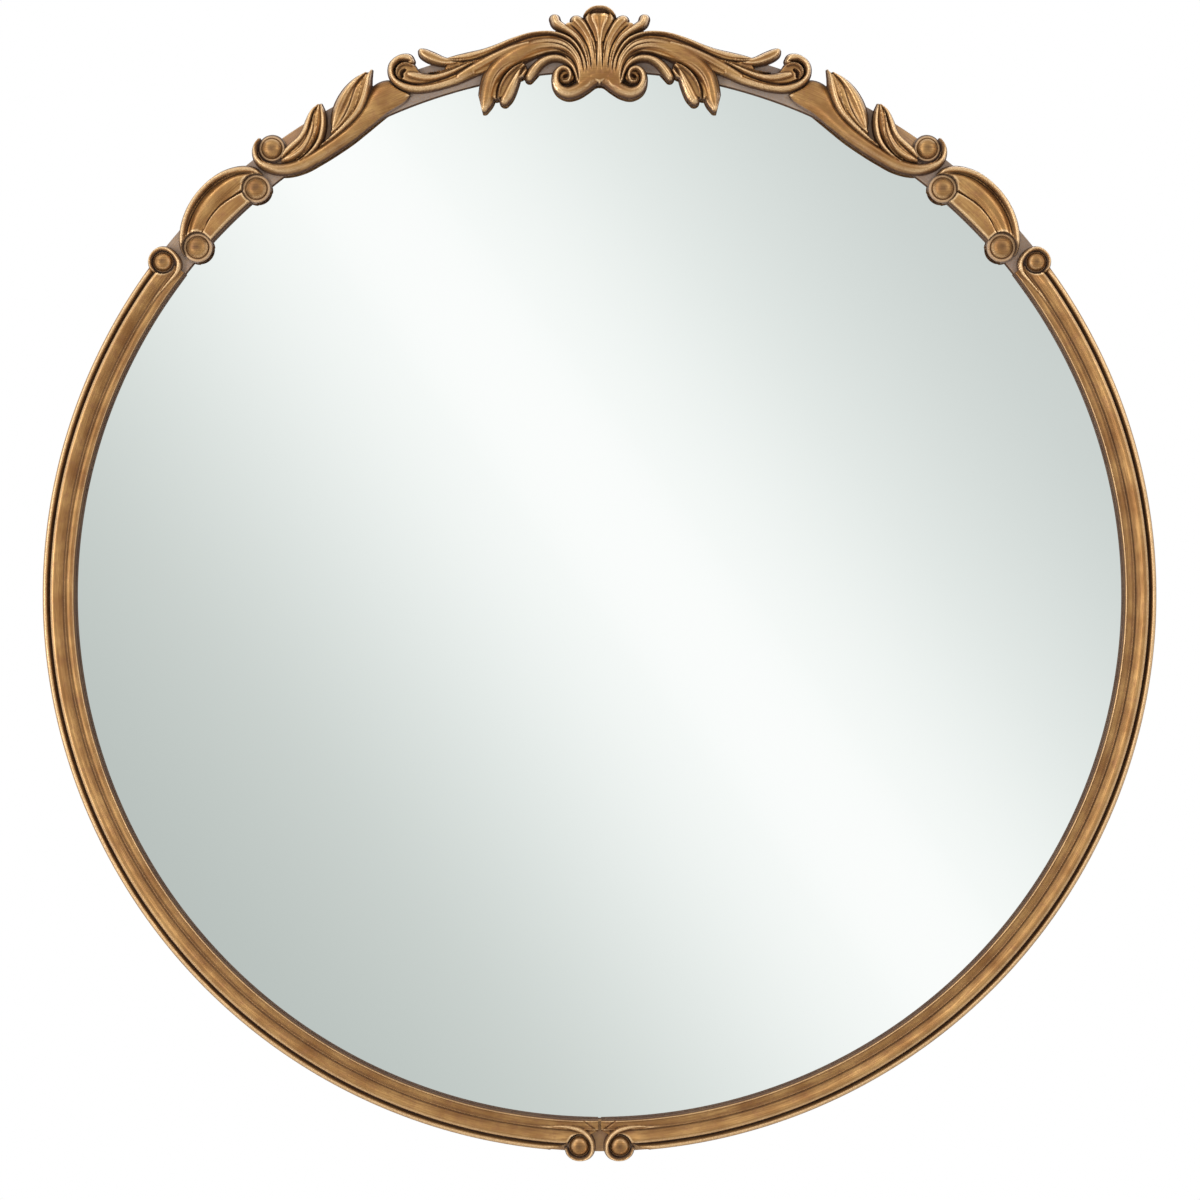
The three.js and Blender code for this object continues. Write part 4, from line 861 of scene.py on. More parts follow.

# %% [markdown]
# ## The beads
# Ten domed beads stand in the scrolls and at the shoulders. Each is turned: a short foot, a low
# flange, a fine quirk and a dome, with a slight dimple in its crown. The crown is painted dark as a
# painted reflection, a ring round the dome and the flange's top are painted light as a painted
# highlight, and the foot and the quirk carry brown glaze and painted shade. A lathe shape is the
# plain way to make one, and the same function makes all ten. A bead starts on top of its seat,
# because two faces in one plane would show as black patches from behind.


# %% Turned pieces
def turned_mesh(profile, segments, centre, axis_sign=-1):
    """Rings of points round the Y axis. The profile is [radius, height] and both ends close."""
    angles = np.linspace(0, 2 * math.pi, segments, endpoint=False)
    points, faces = [], []
    for radius, height in profile:
        depth = np.full(segments, axis_sign * height)
        ring = np.stack([radius * np.cos(angles), depth, radius * np.sin(angles)], axis=1)
        points.append(ring + np.array(centre))
    points = np.vstack(points)
    for i in range(len(profile) - 1):
        for j in range(segments):
            k = (j + 1) % segments
            faces.append([i * segments + j, i * segments + k, (i + 1) * segments + k, (i + 1) * segments + j])
    last = (len(profile) - 1) * segments
    faces.append(list(range(segments))[::-1])
    faces.append(list(range(last, last + segments)))
    return points, faces


def closed(piece, angle):
    """Points every face outwards and keeps arrises sharper than the angle, in degrees, sharp."""
    mesh = bmesh.new()
    mesh.from_mesh(piece.data)
    bmesh.ops.remove_doubles(mesh, verts=mesh.verts[:], dist=1e-7)
    bmesh.ops.recalc_face_normals(mesh, faces=mesh.faces[:])
    mesh.to_mesh(piece.data)
    mesh.free()
    piece.data.set_sharp_from_angle(angle=math.radians(angle))
    return piece


print("turned shapes take a profile of radius and height")

# %% Beads
BEAD_BED = SEAT_RISE + 0.05  # where a bead starts, in millimetres above the ring's face
FLANGE_TOP = 2.6
QUIRK_RISE = 1.9  # the fine line between flange and dome
DOME_RISE = 0.8  # height of a dome, as a share of its radius
DIMPLE_DEPTH, DIMPLE_R = 0.45, 0.26  # the radius is a share of the bead's
DOME_RINGS, BEAD_SEGMENTS = 14, 56


def bead_profile(radius, flange):
    """Rings of radius and height in millimetres, each with its glaze, painted shade and painted dark
    reflection, its rub and painted highlight, and its wax.
    """
    dome = radius - flange
    # the foot and the quirk take glaze and painted shade, the flange's top rub and painted highlight
    rows = [
        (radius, BEAD_BED, 1, 0, 0), (radius, FLANGE_TOP - 1, 0.6, 0, 0.5),
        (radius - 0.3, FLANGE_TOP - 0.4, 0, 0.3, 0.5), (radius - 0.5 * flange, FLANGE_TOP, 0, 0.7, 0.2),
        (dome + 0.3, FLANGE_TOP - 0.3, 0.2, 0, 0.2), (dome + 0.05, QUIRK_RISE, 0.75, 0, 0),
    ]
    for k in range(1, DOME_RINGS + 1):
        turn = math.pi / 2 * k / DOME_RINGS
        r = dome * math.cos(turn)
        dimple = DIMPLE_DEPTH * math.exp(-((r / (DIMPLE_R * radius)) ** 2))
        # the dark crown is a painted reflection, the quirk's dark line glaze and painted shade, the light
        # ring round the dome a painted highlight
        crown_painted_reflection = 0.65 * math.exp(-((r / (0.34 * radius)) ** 2))
        quirk_glaze_and_shade = 0.45 * math.exp(-(((k - 0.5) / 1.3) ** 2))
        painted_highlight_ring = 0.6 * math.exp(-(((r / radius - 0.66) / 0.1) ** 2))
        height = QUIRK_RISE + DOME_RISE * dome * math.sin(turn) - dimple
        rows.append((max(r, 0.02), height, min(crown_painted_reflection + quirk_glaze_and_shade, 1), painted_highlight_ring, 0))
    return rows


def bead(name, place, flange, mirrored):
    s, out, radius = place
    rows = bead_profile(radius, flange)
    centre = on_ring(np.array(float(s)), np.array(float(out)), 0.0)
    if mirrored:
        centre[0] *= -1
    points, faces = turned_mesh([(r * MM, h * MM) for r, h, *_ in rows], BEAD_SEGMENTS, centre)
    piece = mesh_piece(name, points, faces, GILT)
    marks = [np.repeat([row[i] for row in rows], BEAD_SEGMENTS) for i in (2, 3, 4)]
    set_marks(piece.data, marks, points[:, [0, 2]])
    return closed(piece, 50)


BEADS = {  # each with the width of the low flange round its dome, in millimetres
    "leaf_bead": (SPRAY_BEAD, 2.1), "shoulder_bead_upper": (UPPER_BEAD, 2.6),
    "shoulder_bead_lower": (LOWER_BEAD, 2.8), "side_bead": (SIDE_BEAD, 1.1), "bottom_bead": (FOOT_BEAD, 1.1),
}
for label, (place, flange) in BEADS.items():
    for side in SIDES:
        turned = bead(f"gilt_{label}_{side}", place, flange, mirrored=side == "left")
        settle(turned, "antique_gilt", f"{label}_{side}")
print(2 * len(BEADS), "beads")

# %% [markdown]
# ## The ring
# The ring is one section carried round a circle: a flat face, a small arris, the sight edge and
# the rebate that holds the glass. That is a rule, so a Geometry Nodes tree makes it, with the
# radius and the facet count as named inputs, and any change of section is one list of points. Its
# face is the ground between the castings, where the grey wax lies.


# %% Trees and a swept section
def node_tree(name, numbers):
    tree = bpy.data.node_groups.new(name, "GeometryNodeTree")
    tree.is_modifier = True
    tree.interface.new_socket("Geometry", in_out="INPUT", socket_type="NodeSocketGeometry")
    for label, (kind, value) in numbers.items():
        tree.interface.new_socket(label, in_out="INPUT", socket_type=kind).default_value = value
    tree.interface.new_socket("Geometry", in_out="OUTPUT", socket_type="NodeSocketGeometry")
    return tree


def run_tree(name, source, tree, values):
    """Runs a tree on a mesh object and returns its result as a plain mesh object."""
    modifier = source.modifiers.new("tree", "NODES")
    modifier.node_group = tree
    ids = {item.name: item.identifier for item in tree.interface.items_tree if item.in_out == "INPUT"}
    for label, value in values.items():
        modifier[ids[label]] = value
    evaluated = source.evaluated_get(bpy.context.evaluated_depsgraph_get())
    mesh = bpy.data.meshes.new_from_object(evaluated)
    mesh.name = name
    bpy.data.objects.remove(source)
    piece = bpy.data.objects.new(name, mesh)
    bpy.context.collection.objects.link(piece)
    return piece


def section_object(points):
    """A closed outline as loose edges, x outwards and y the depth."""
    mesh = bpy.data.meshes.new("section")
    count = len(points)
    mesh.from_pydata([(x, y, 0) for x, y in points], [(i, (i + 1) % count) for i in range(count)], [])
    piece = bpy.data.objects.new("section", mesh)
    bpy.context.collection.objects.link(piece)
    return piece


def sweep_tree(material):
    tree = node_tree("section_round_a_circle", {
        "Radius": ("NodeSocketFloat", 0.1),
        "Facets": ("NodeSocketInt", 64),
    })
    given = add_node(tree, "NodeGroupInput")
    outline = add_node(tree, "GeometryNodeMeshToCurve", {0: given.outputs["Geometry"]})
    circle = add_node(tree, "GeometryNodeCurvePrimitiveCircle", {
        "Radius": given.outputs["Radius"], "Resolution": given.outputs["Facets"],
    })
    swept = add_node(tree, "GeometryNodeCurveToMesh", {0: circle.outputs[0], 1: outline.outputs[0]})
    upright = add_node(tree, "GeometryNodeTransform", {
        "Geometry": swept.outputs[0], "Rotation": (math.pi / 2, 0, 0),
    })
    real = add_node(tree, "GeometryNodeRealizeInstances", {0: upright.outputs[0]})
    dressed = add_node(tree, "GeometryNodeSetMaterial", {"Geometry": real.outputs[0], "Material": material})
    add_node(tree, "NodeGroupOutput", {0: dressed.outputs[0]})
    return tree


SWEEP = sweep_tree(GILT)
print("made the tree", SWEEP.name)

# %% Ring
RING_FACETS = 360
SIGHT_R = OUTER_R - RING_WIDTH
REBATE_R = SIGHT_R + REBATE_WIDTH
ARRIS = 0.8 * MM
REBATE_FLOOR = RING_FACE + RING_LIP
section = [
    (REBATE_R, RING_BACK), (OUTER_R - ARRIS, RING_BACK), (OUTER_R, RING_BACK - ARRIS),
    (OUTER_R, RING_FACE + ARRIS), (OUTER_R - 0.3 * ARRIS, RING_FACE + 0.3 * ARRIS),
    (OUTER_R - ARRIS, RING_FACE), (SIGHT_R + ARRIS, RING_FACE),
    (SIGHT_R + 0.3 * ARRIS, RING_FACE + 0.3 * ARRIS), (SIGHT_R, RING_FACE + ARRIS),
    (SIGHT_R, REBATE_FLOOR), (REBATE_R, REBATE_FLOOR),
]
ring = run_tree(
    "gilt_ring", section_object([(r - MID_R, y) for r, y in section]), SWEEP,
    {"Radius": MID_R, "Facets": RING_FACETS},
)
print("ring box", [round(v, 4) for v in ring.dimensions])

# %% [markdown]
# The swept ring carries no finish marks yet. Its front face is dusted ground, its arrises are
# rubbed and carry a painted highlight, and the faces behind the front, the rebate among them, are
# brown glaze and painted shade. Each mark is read off the place of a point on the section, and the
# frieze map off its turn round the circle. The wax lies thick along some stretches of the frieze
# and was wiped off along others.


# %% Mark the ring
# places along the frieze, each with how thick the grey wax lies there
WAX = [[0, 0.85], [125, 0.85], [190, 0.75], [204, 0.25], [228, 0.25], [243, 0.75], [334, 0.7],
    [350, 0.3], [HALF_ROUND, 0.25]]
# rub and painted highlight on the ring's arrises
ARRIS_RUB_AND_HIGHLIGHT = 0.3


def mark_ring(piece):
    closed(piece, 40)
    points = np.array([v.co[:] for v in piece.data.vertices])
    radius = np.hypot(points[:, 0], points[:, 2])
    turn = np.arctan2(points[:, 0], points[:, 2])
    front = points[:, 1] < RING_FACE + 0.4 * ARRIS
    arris = front & ((radius > OUTER_R - 0.9 * ARRIS) | (radius < SIGHT_R + 0.9 * ARRIS))
    wax = np.interp(np.abs(turn) * MID_R / MM, *zip(*WAX))
    # behind the front: glaze and painted shade; arrises: rub and painted highlight; front: wax
    marks = [~front * 1.0, arris * ARRIS_RUB_AND_HIGHLIGHT, front * wax]
    set_marks(piece.data, marks, np.stack([turn * MID_R, radius - MID_R], axis=-1))


mark_ring(ring)
settle(ring, "antique_gilt", "frame_ring")
print("ring marked at", len(ring.data.vertices), "places")

# %% [markdown]
# ## Silvered glass
# The mirror is 4 mm float glass, silvered on its back. Drawn as clear glass over a metal film it
# would need two surfaces and many bounces, and nobody could tell the difference from the front, so
# one metal surface with a very low roughness stands for both. Its slight green comes from the
# glass, and varies over a third of a metre, too faintly to see as a pattern. The disc has a fine
# ground edge.

# %% Mirror
EDGE_GRIND = 0.5 * MM
HAZE = 333 * MM
PIN_HOLE = 0.01 * MM  # a turned shape's innermost ring, so small that it reads as a point


def silvered_glass():
    material, tree, shader = new_material("silvered_float_glass")
    place = add_node(tree, "ShaderNodeTexCoord").outputs["Object"]
    shader.inputs["Metallic"].default_value = 1.0
    haze = add_node(tree, "ShaderNodeTexNoise", {
        "Vector": place, "Scale": 1 / HAZE, "Detail": 2.0,
    }).outputs[0]
    tints = {MIX_SHARE: haze, MIX_A: linear("#FDFEFD"), MIX_B: linear("#FAFCFB")}
    tint = add_node(tree, "ShaderNodeMix", tints, data_type="RGBA").outputs[MIX_RESULT]
    tree.links.new(tint, shader.inputs["Base Color"])
    polish = add_node(tree, "ShaderNodeMapRange", {"Value": haze, "To Min": 0.004, "To Max": 0.012})
    tree.links.new(polish.outputs[0], shader.inputs["Roughness"])
    return material


def disc_profile(radius, thick, arris):
    return [(PIN_HOLE, 0), (radius - arris, 0), (radius, arris), (radius, thick - arris),
            (radius - arris, thick), (PIN_HOLE, thick)]


def disc_piece(name, radius, back, front, arris, material, segments=256):
    points, faces = turned_mesh(disc_profile(radius, back - front, arris), segments, (0, back, 0))
    return closed(mesh_piece(name, points, faces, material), 30)


glass = disc_piece("mirror_plate", GLASS_R, GLASS_BACK, GLASS_FRONT, EDGE_GRIND, silvered_glass())
settle(glass, "mirror", "mirror_glass")
print("glass", round(2 * GLASS_R, 4), "m across")

# %% [markdown]
# ## The back
# Nobody sees the back on a wall, but it still has to be right: a hardboard disc held by ten pan
# head screws, four soft bumpers, and two hangers of folded strap with a D-shaped wire ring.
# Hardboard is pressed wood fibre, so its colour is even at arm's length and felted close up.

# %% Hardboard
FIBRE = 1.4 * MM
BOARD_CLOUD = 71.4 * MM
BOARD_ARRIS = 0.4 * MM


def hardboard():
    material, tree, shader = new_material("pressed_hardboard")
    place = add_node(tree, "ShaderNodeTexCoord").outputs["Object"]
    felt = add_node(tree, "ShaderNodeTexNoise", {
        "Vector": place, "Scale": 1 / FIBRE, "Detail": 6.0, "Roughness": 0.75, "Distortion": 1.5,
    }).outputs[0]
    cloud = add_node(tree, "ShaderNodeTexNoise", {
        "Vector": place, "Scale": 1 / BOARD_CLOUD, "Detail": 2.0,
    }).outputs[0]
    colour = linear("#6A4A30")
    for share, layer in ((cloud, "#7C5A3C"), (felt, "#4A3220")):
        tints = {MIX_SHARE: share, MIX_A: colour, MIX_B: linear(layer)}
        colour = add_node(tree, "ShaderNodeMix", tints, data_type="RGBA").outputs[MIX_RESULT]
    tree.links.new(colour, shader.inputs["Base Color"])
    rough = add_node(tree, "ShaderNodeMapRange", {"Value": felt, "To Min": 0.62, "To Max": 0.85})
    tree.links.new(rough.outputs[0], shader.inputs["Roughness"])
    bump = add_node(tree, "ShaderNodeBump", {"Height": felt, "Strength": 0.4, "Distance": 0.2 * MM})
    tree.links.new(bump.outputs[0], shader.inputs["Normal"])
    return material


board = disc_piece("hardboard_back", BOARD_R, BOARD_BACK, BOARD_FRONT, BOARD_ARRIS, hardboard(), 192)
settle(board, "board", "backing_board")
print("board", round(2 * BOARD_R, 4), "m across")

# %% [markdown]
# ## Plated steel and the screws
# Cheap fittings are zinc plated: a warm grey metal, satin from the barrel, with faint clouding.
# A screw head is one small turned dome with a cross recess pressed into it. Ten of them repeat
# round the board, so a Geometry Nodes tree copies one head to the points of a circle.

# %% Zinc plate
CLOUDING = 4 * MM


def zinc_plate():
    material, tree, shader = new_material("zinc_plated_steel")
    place = add_node(tree, "ShaderNodeTexCoord").outputs["Object"]
    cloud = add_node(tree, "ShaderNodeTexNoise", {
        "Vector": place, "Scale": 1 / CLOUDING, "Detail": 4.0,
    }).outputs[0]
    tints = {MIX_SHARE: cloud, MIX_A: linear("#B9B5A9"), MIX_B: linear("#D3CFC3")}
    tint = add_node(tree, "ShaderNodeMix", tints, data_type="RGBA").outputs[MIX_RESULT]
    tree.links.new(tint, shader.inputs["Base Color"])
    shader.inputs["Metallic"].default_value = 1.0
    rough = add_node(tree, "ShaderNodeMapRange", {"Value": cloud, "To Min": 0.28, "To Max": 0.45})
    tree.links.new(rough.outputs[0], shader.inputs["Roughness"])
    return material


ZINC = zinc_plate()
print("made", ZINC.name)

# %% Screw heads
SCREWS = 10
SHANK_R = 1.3 * MM
HEAD_R = 3.4 * MM
HEAD_RISE = 1.8 * MM
HEAD_RINGS, HEAD_SEGMENTS = 11, 40
RECESS_ARM = 1.9 * MM
RECESS_HALF = 0.38 * MM
RECESS_DEPTH = 1.0 * MM


def screw_mesh(name, bite):
    """A pan head, seated at y = 0 with its dome towards +Y and its shank towards -Y."""
    radii = [HEAD_R * (1 - k / HEAD_RINGS) for k in range(1, HEAD_RINGS)]
    pan = [(r, HEAD_RISE * math.sqrt(1 - (r / HEAD_R) ** 3.2)) for r in radii]
    shank = [(0.2 * SHANK_R, -bite), (SHANK_R, SHANK_R - bite), (SHANK_R, 0)]
    points, faces = turned_mesh([*shank, (HEAD_R, 0), *pan], HEAD_SEGMENTS, (0, 0, 0), axis_sign=1)
    x, z = points[:, 0], points[:, 2]
    arm = np.maximum(np.abs(x), np.abs(z)) < RECESS_ARM
    cross = arm & (np.minimum(np.abs(x), np.abs(z)) < RECESS_HALF) & (points[:, 1] > 0.5 * HEAD_RISE)
    points[:, 1] -= np.where(cross, RECESS_DEPTH, 0)
    return closed(mesh_piece(name, points, faces, ZINC), 40)


def copies_tree(material):
    tree = node_tree("copies_round_a_circle", {
        "Radius": ("NodeSocketFloat", 0.1), "Count": ("NodeSocketInt", 4), "Turn": ("NodeSocketFloat", 0.0),
        "Depth": ("NodeSocketFloat", 0.0),
    })
    given = add_node(tree, "NodeGroupInput")
    circle = add_node(tree, "GeometryNodeMeshCircle", {
        "Vertices": given.outputs["Count"], "Radius": given.outputs["Radius"],
    })
    turn = add_node(tree, "ShaderNodeCombineXYZ", {"X": math.pi / 2, "Y": given.outputs["Turn"]})
    shift = add_node(tree, "ShaderNodeCombineXYZ", {"Y": given.outputs["Depth"]})
    placed = add_node(tree, "GeometryNodeTransform", {
        "Geometry": circle.outputs[0], "Rotation": turn.outputs[0], "Translation": shift.outputs[0],
    })
    copies = add_node(tree, "GeometryNodeInstanceOnPoints", {
        "Points": placed.outputs[0], "Instance": given.outputs["Geometry"],
    })
    real = add_node(tree, "GeometryNodeRealizeInstances", {0: copies.outputs[0]})
    dressed = add_node(tree, "GeometryNodeSetMaterial", {"Geometry": real.outputs[0], "Material": material})
    add_node(tree, "NodeGroupOutput", {0: dressed.outputs[0]})
    return tree


print("screw heads", round(2 * HEAD_R, 4), "m across")

# %% Board screws
UNDER_HEAD = 0.3 * MM  # air between a screw's seat and the board
first_low, first_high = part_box("board_screw_01")
screw_circle = math.hypot((first_low[0] + first_high[0]) / 2, (first_low[2] + first_high[2]) / 2)
board_screws = run_tree(
    "board_screws", screw_mesh("screw", BOARD_BACK + UNDER_HEAD - first_low[1]), copies_tree(ZINC),
    {"Radius": screw_circle, "Count": SCREWS, "Turn": math.pi / SCREWS, "Depth": first_high[1] - HEAD_RISE},
)
settle(board_screws, "screw_steel", *[f"board_screw_{i:02d}" for i in range(1, SCREWS + 1)])
print("screw circle", round(screw_circle, 4), "box", [round(v, 4) for v in board_screws.dimensions])

# %% [markdown]
# ## Hangers
# A D-ring hanger is one strip of steel, folded over the wire and screwed flat to the board. The
# strip is cut from an outline with a round end and two holes, so a filled curve gives the plate
# and a rolled eye joins its top. The wire is a closed path with a straight bar, swept as a tube.
# It turns in the eye, so it rides on its own body.

# %% A flat plate from an outline
PLATE_BEVEL = 0.15 * MM


def outline_plate(name, loops, thick, material):
    """A flat plate from an outline and its holes, upright in XZ, its back at y = 0."""
    curve = bpy.data.curves.new(name, "CURVE")
    curve.dimensions = "2D"
    curve.fill_mode = "BOTH"
    curve.extrude = thick / 2 - PLATE_BEVEL
    curve.bevel_depth = PLATE_BEVEL
    curve.offset = -PLATE_BEVEL
    for loop in loops:
        spline = curve.splines.new("POLY")
        spline.points.add(len(loop) - 1)
        for point, (x, z) in zip(spline.points, loop):
            point.co = (x, z, 0, 1)
        spline.use_cyclic_u = True
    source = bpy.data.objects.new(name, curve)
    bpy.context.collection.objects.link(source)
    evaluated = source.evaluated_get(bpy.context.evaluated_depsgraph_get())
    mesh = bpy.data.meshes.new_from_object(evaluated)
    bpy.data.objects.remove(source)
    points = np.array([v.co[:] for v in mesh.vertices])
    faces = [list(p.vertices) for p in mesh.polygons]
    upright = np.stack([points[:, 0], thick / 2 - points[:, 2], points[:, 1]], axis=-1)
    return closed(mesh_piece(name, upright, faces, material), 30)


def arc_points(x, z, radius, start, end, steps):
    angles = np.linspace(start, end, steps)
    return [(x + radius * math.cos(a), z + radius * math.sin(a)) for a in angles]


print("plates have edges eased by", PLATE_BEVEL, "m")

# %% Strap and eye
STRAP_THICK = 1.2 * MM
STRAP_WIDTH = 14 * MM
STRAP_LENGTH = 42 * MM
STRAP_HOLES = (10, 33)  # millimetres below the fold
STRAP_HOLE_R = 1.6 * MM
FOLD_WIDTH = 11 * MM
FOLD_TOP, FOLD_FOOT = 0.5 * MM, -1 * MM  # between these heights the plate is as narrow as its eye
WIRE_R = 1.25 * MM
EYE_PLAY = 0.38 * MM
EYE_R = WIRE_R + EYE_PLAY + STRAP_THICK


def strap_outline():
    half, fold = STRAP_WIDTH / 2, FOLD_WIDTH / 2
    foot = arc_points(0, half - STRAP_LENGTH, half, math.pi, 2 * math.pi, 25)
    body = [(-fold, FOLD_TOP), (-fold, FOLD_FOOT), (-half, -half), *foot, (half, -half),
            (fold, FOLD_FOOT), (fold, FOLD_TOP)]
    holes = [arc_points(0, -drop * MM, STRAP_HOLE_R, 2 * math.pi, 0, 25)[:-1] for drop in STRAP_HOLES]
    return [body, *holes]


def rolled_eye(name, material):
    outer = arc_points(0, 0, EYE_R, 0, 2 * math.pi, 33)[:-1]
    inner = arc_points(0, 0, EYE_R - STRAP_THICK, 0, 2 * math.pi, 33)[:-1]
    points, faces = [], []
    for x in (-FOLD_WIDTH / 2, FOLD_WIDTH / 2):
        points += [(x, y, z) for y, z in outer + inner]
    n = len(outer)
    for j in range(n):
        k = (j + 1) % n
        faces += [[j, k, 2 * n + k, 2 * n + j], [n + k, n + j, 3 * n + j, 3 * n + k],
                  [k, j, n + j, n + k], [2 * n + j, 2 * n + k, 3 * n + k, 3 * n + j]]
    return closed(mesh_piece(name, np.array(points), faces, material), 40)


print("strap", STRAP_LENGTH, "m long, eye", round(2 * EYE_R, 4), "m across")


# %% D-shaped wire
def tube(name, path, radius, material, sides=16):
    """A closed wire along a closed path that lies in the XZ plane."""
    points, faces = [], []
    count = len(path)
    for i, (x, z) in enumerate(path):
        before, after = path[i - 1], path[(i + 1) % count]
        along = Vector((after[0] - before[0], after[1] - before[1])).normalized()
        for k in range(sides):
            a = 2 * math.pi * k / sides
            across = radius * math.cos(a)
            points.append((x - along[1] * across, radius * math.sin(a), z + along[0] * across))
        for k in range(sides):
            n, m = (k + 1) % sides, (i + 1) % count
            faces.append([i * sides + k, i * sides + n, m * sides + n, m * sides + k])
    return closed(mesh_piece(name, np.array(points), faces, material), 60)


RING_HALF = 12 * MM
RING_DROP = 21 * MM
CORNER = 3 * MM


def d_path():
    """The wire's line: a straight bar at the top, two rounded corners and a bow below."""
    bar = RING_HALF - CORNER
    right = arc_points(bar, -CORNER, CORNER, math.pi / 2, 0, 9)
    bow = [(RING_HALF * math.cos(a), -CORNER - (RING_DROP - CORNER) * math.sin(a))
           for a in np.linspace(0, math.pi, 41)[1:-1]]
    left = arc_points(-bar, -CORNER, CORNER, math.pi, math.pi / 2, 9)
    return [*right, *bow, *left, (0, 0)]


print("ring", round(2 * RING_HALF, 4), "m wide")


# %% Put the hangers together
def moved(piece, x, y, z):
    piece.data.transform(Matrix.Translation((x, y, z)))
    return piece


def joined(name, *pieces):
    whole = bmesh.new()
    for piece in pieces:
        whole.from_mesh(piece.data)
    mesh = bpy.data.meshes.new(name)
    whole.to_mesh(mesh)
    whole.free()
    mesh.materials.append(pieces[0].data.materials[0])
    for piece in pieces:
        bpy.data.objects.remove(piece)
    result = bpy.data.objects.new(name, mesh)
    bpy.context.collection.objects.link(result)
    return result


def hanger(side):
    low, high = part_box("hanger_strap_" + side)
    ring_low, ring_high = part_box("hanger_ring_" + side)
    x = (low[0] + high[0]) / 2
    axis_y = (ring_low[1] + ring_high[1]) / 2
    axis_z = ring_high[2] - WIRE_R
    plate = outline_plate("plate_" + side, strap_outline(), STRAP_THICK, ZINC)
    moved(plate, 0, low[1] - axis_y, 0)
    strap = moved(joined("hanger_plate_" + side, plate, rolled_eye("eye_" + side, ZINC)), x, axis_y, axis_z)
    settle(strap, "hanger_steel", "hanger_strap_" + side)
    wire = moved(tube("hanger_wire_" + side, d_path(), WIRE_R, ZINC), x, axis_y, axis_z)
    settle(wire, "hanger_steel", "hanger_ring_" + side, body="d_ring_" + side)
    for i, drop in enumerate(STRAP_HOLES):
        node = f"hanger_screw_{side}_{i + 1}"
        screw_low, screw_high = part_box(node)
        seat = screw_high[1] - HEAD_RISE
        screw = moved(screw_mesh(node + "_head", seat - screw_low[1]), x, seat, axis_z - drop * MM)
        settle(screw, "screw_steel", node)
    print("hanger", side, "at", [round(v, 4) for v in (x, axis_y, axis_z)])


for side in SIDES:
    hanger(side)

# %% [markdown]
# ## Bumpers
# Four soft moulded bumpers keep the frame off the wall. Rubber is the plainest finish of all: near
# black, matt, with a faint bloom. Each has a flat face and a moulded shoulder.

# %% Bumpers
BLOOM = 4.545 * MM


def soft_rubber():
    material, tree, shader = new_material("moulded_rubber")
    place = add_node(tree, "ShaderNodeTexCoord").outputs["Object"]
    bloom = add_node(tree, "ShaderNodeTexNoise", {
        "Vector": place, "Scale": 1 / BLOOM, "Detail": 4.0,
    }).outputs[0]
    tints = {MIX_SHARE: bloom, MIX_A: linear("#1D1C1B"), MIX_B: linear("#33312F")}
    tint = add_node(tree, "ShaderNodeMix", tints, data_type="RGBA").outputs[MIX_RESULT]
    tree.links.new(tint, shader.inputs["Base Color"])
    rough = add_node(tree, "ShaderNodeMapRange", {"Value": bloom, "To Min": 0.7, "To Max": 0.9})
    tree.links.new(rough.outputs[0], shader.inputs["Roughness"])
    return material


RUBBER = soft_rubber()
for level in ("upper", "lower"):
    for side in SIDES:
        node = f"wall_bumper_{level}_{side}"
        low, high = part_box(node)
        radius, thick = (high[0] - low[0]) / 2, high[1] - low[1]
        centre = ((low[0] + high[0]) / 2, low[1], (low[2] + high[2]) / 2)
        profile = [(radius, 0), (radius, 0.62 * thick), (0.985 * radius, 0.78 * thick),
                   (0.93 * radius, 0.93 * thick), (0.85 * radius, thick), (0.3 * radius, thick)]
        points, faces = turned_mesh(profile, 48, centre, axis_sign=1)
        bumper = closed(mesh_piece(f"bumper_{level}_{side}", points, faces, RUBBER), 25)
        settle(bumper, "rubber", node)
print("bumpers", round(radius, 4), round(thick, 4))

# %% [markdown]
# ## Camera, studio and light
# The photograph looks straight at the frame through a longish lens. The distance follows from the
# scale: 1200 pixels span 821.5 mm at the ornament's seat. A white world shows to the camera and in
# reflections, while a dimmer one lights the object with four soft boxes: a key from the upper left,
# a strip on each side that draws a bright line down the mouldings, and a fill for the back. A mirror
# shows what is in front of it, so a painted card stands behind the camera, seen only in
# reflections: grey green, with one white band that runs steeply across it and fades on both sides.
# A pale round floor lies well below and is out of the picture from the front.

# %% Camera
LENS, SENSOR = 85.0, 36.0
FRAME_PX = 1200
FRAME_SPAN = 821.5 * MM
LOOK_X, LOOK_Z = 0.3 * MM, -3.4 * MM
distance = FRAME_SPAN / SENSOR * LENS
camera_data = bpy.data.cameras.new("camera")
camera_data.lens = LENS
camera_data.sensor_width = SENSOR
camera = bpy.data.objects.new("camera", camera_data)
camera.location = (LOOK_X, SEAT - distance, LOOK_Z)
camera.rotation_euler = (math.pi / 2, 0, 0)
bpy.context.collection.objects.link(camera)
bpy.context.scene.camera = camera
print("camera", round(distance, 3), "m away, one pixel is", round(FRAME_SPAN / FRAME_PX / MM, 3), "mm")

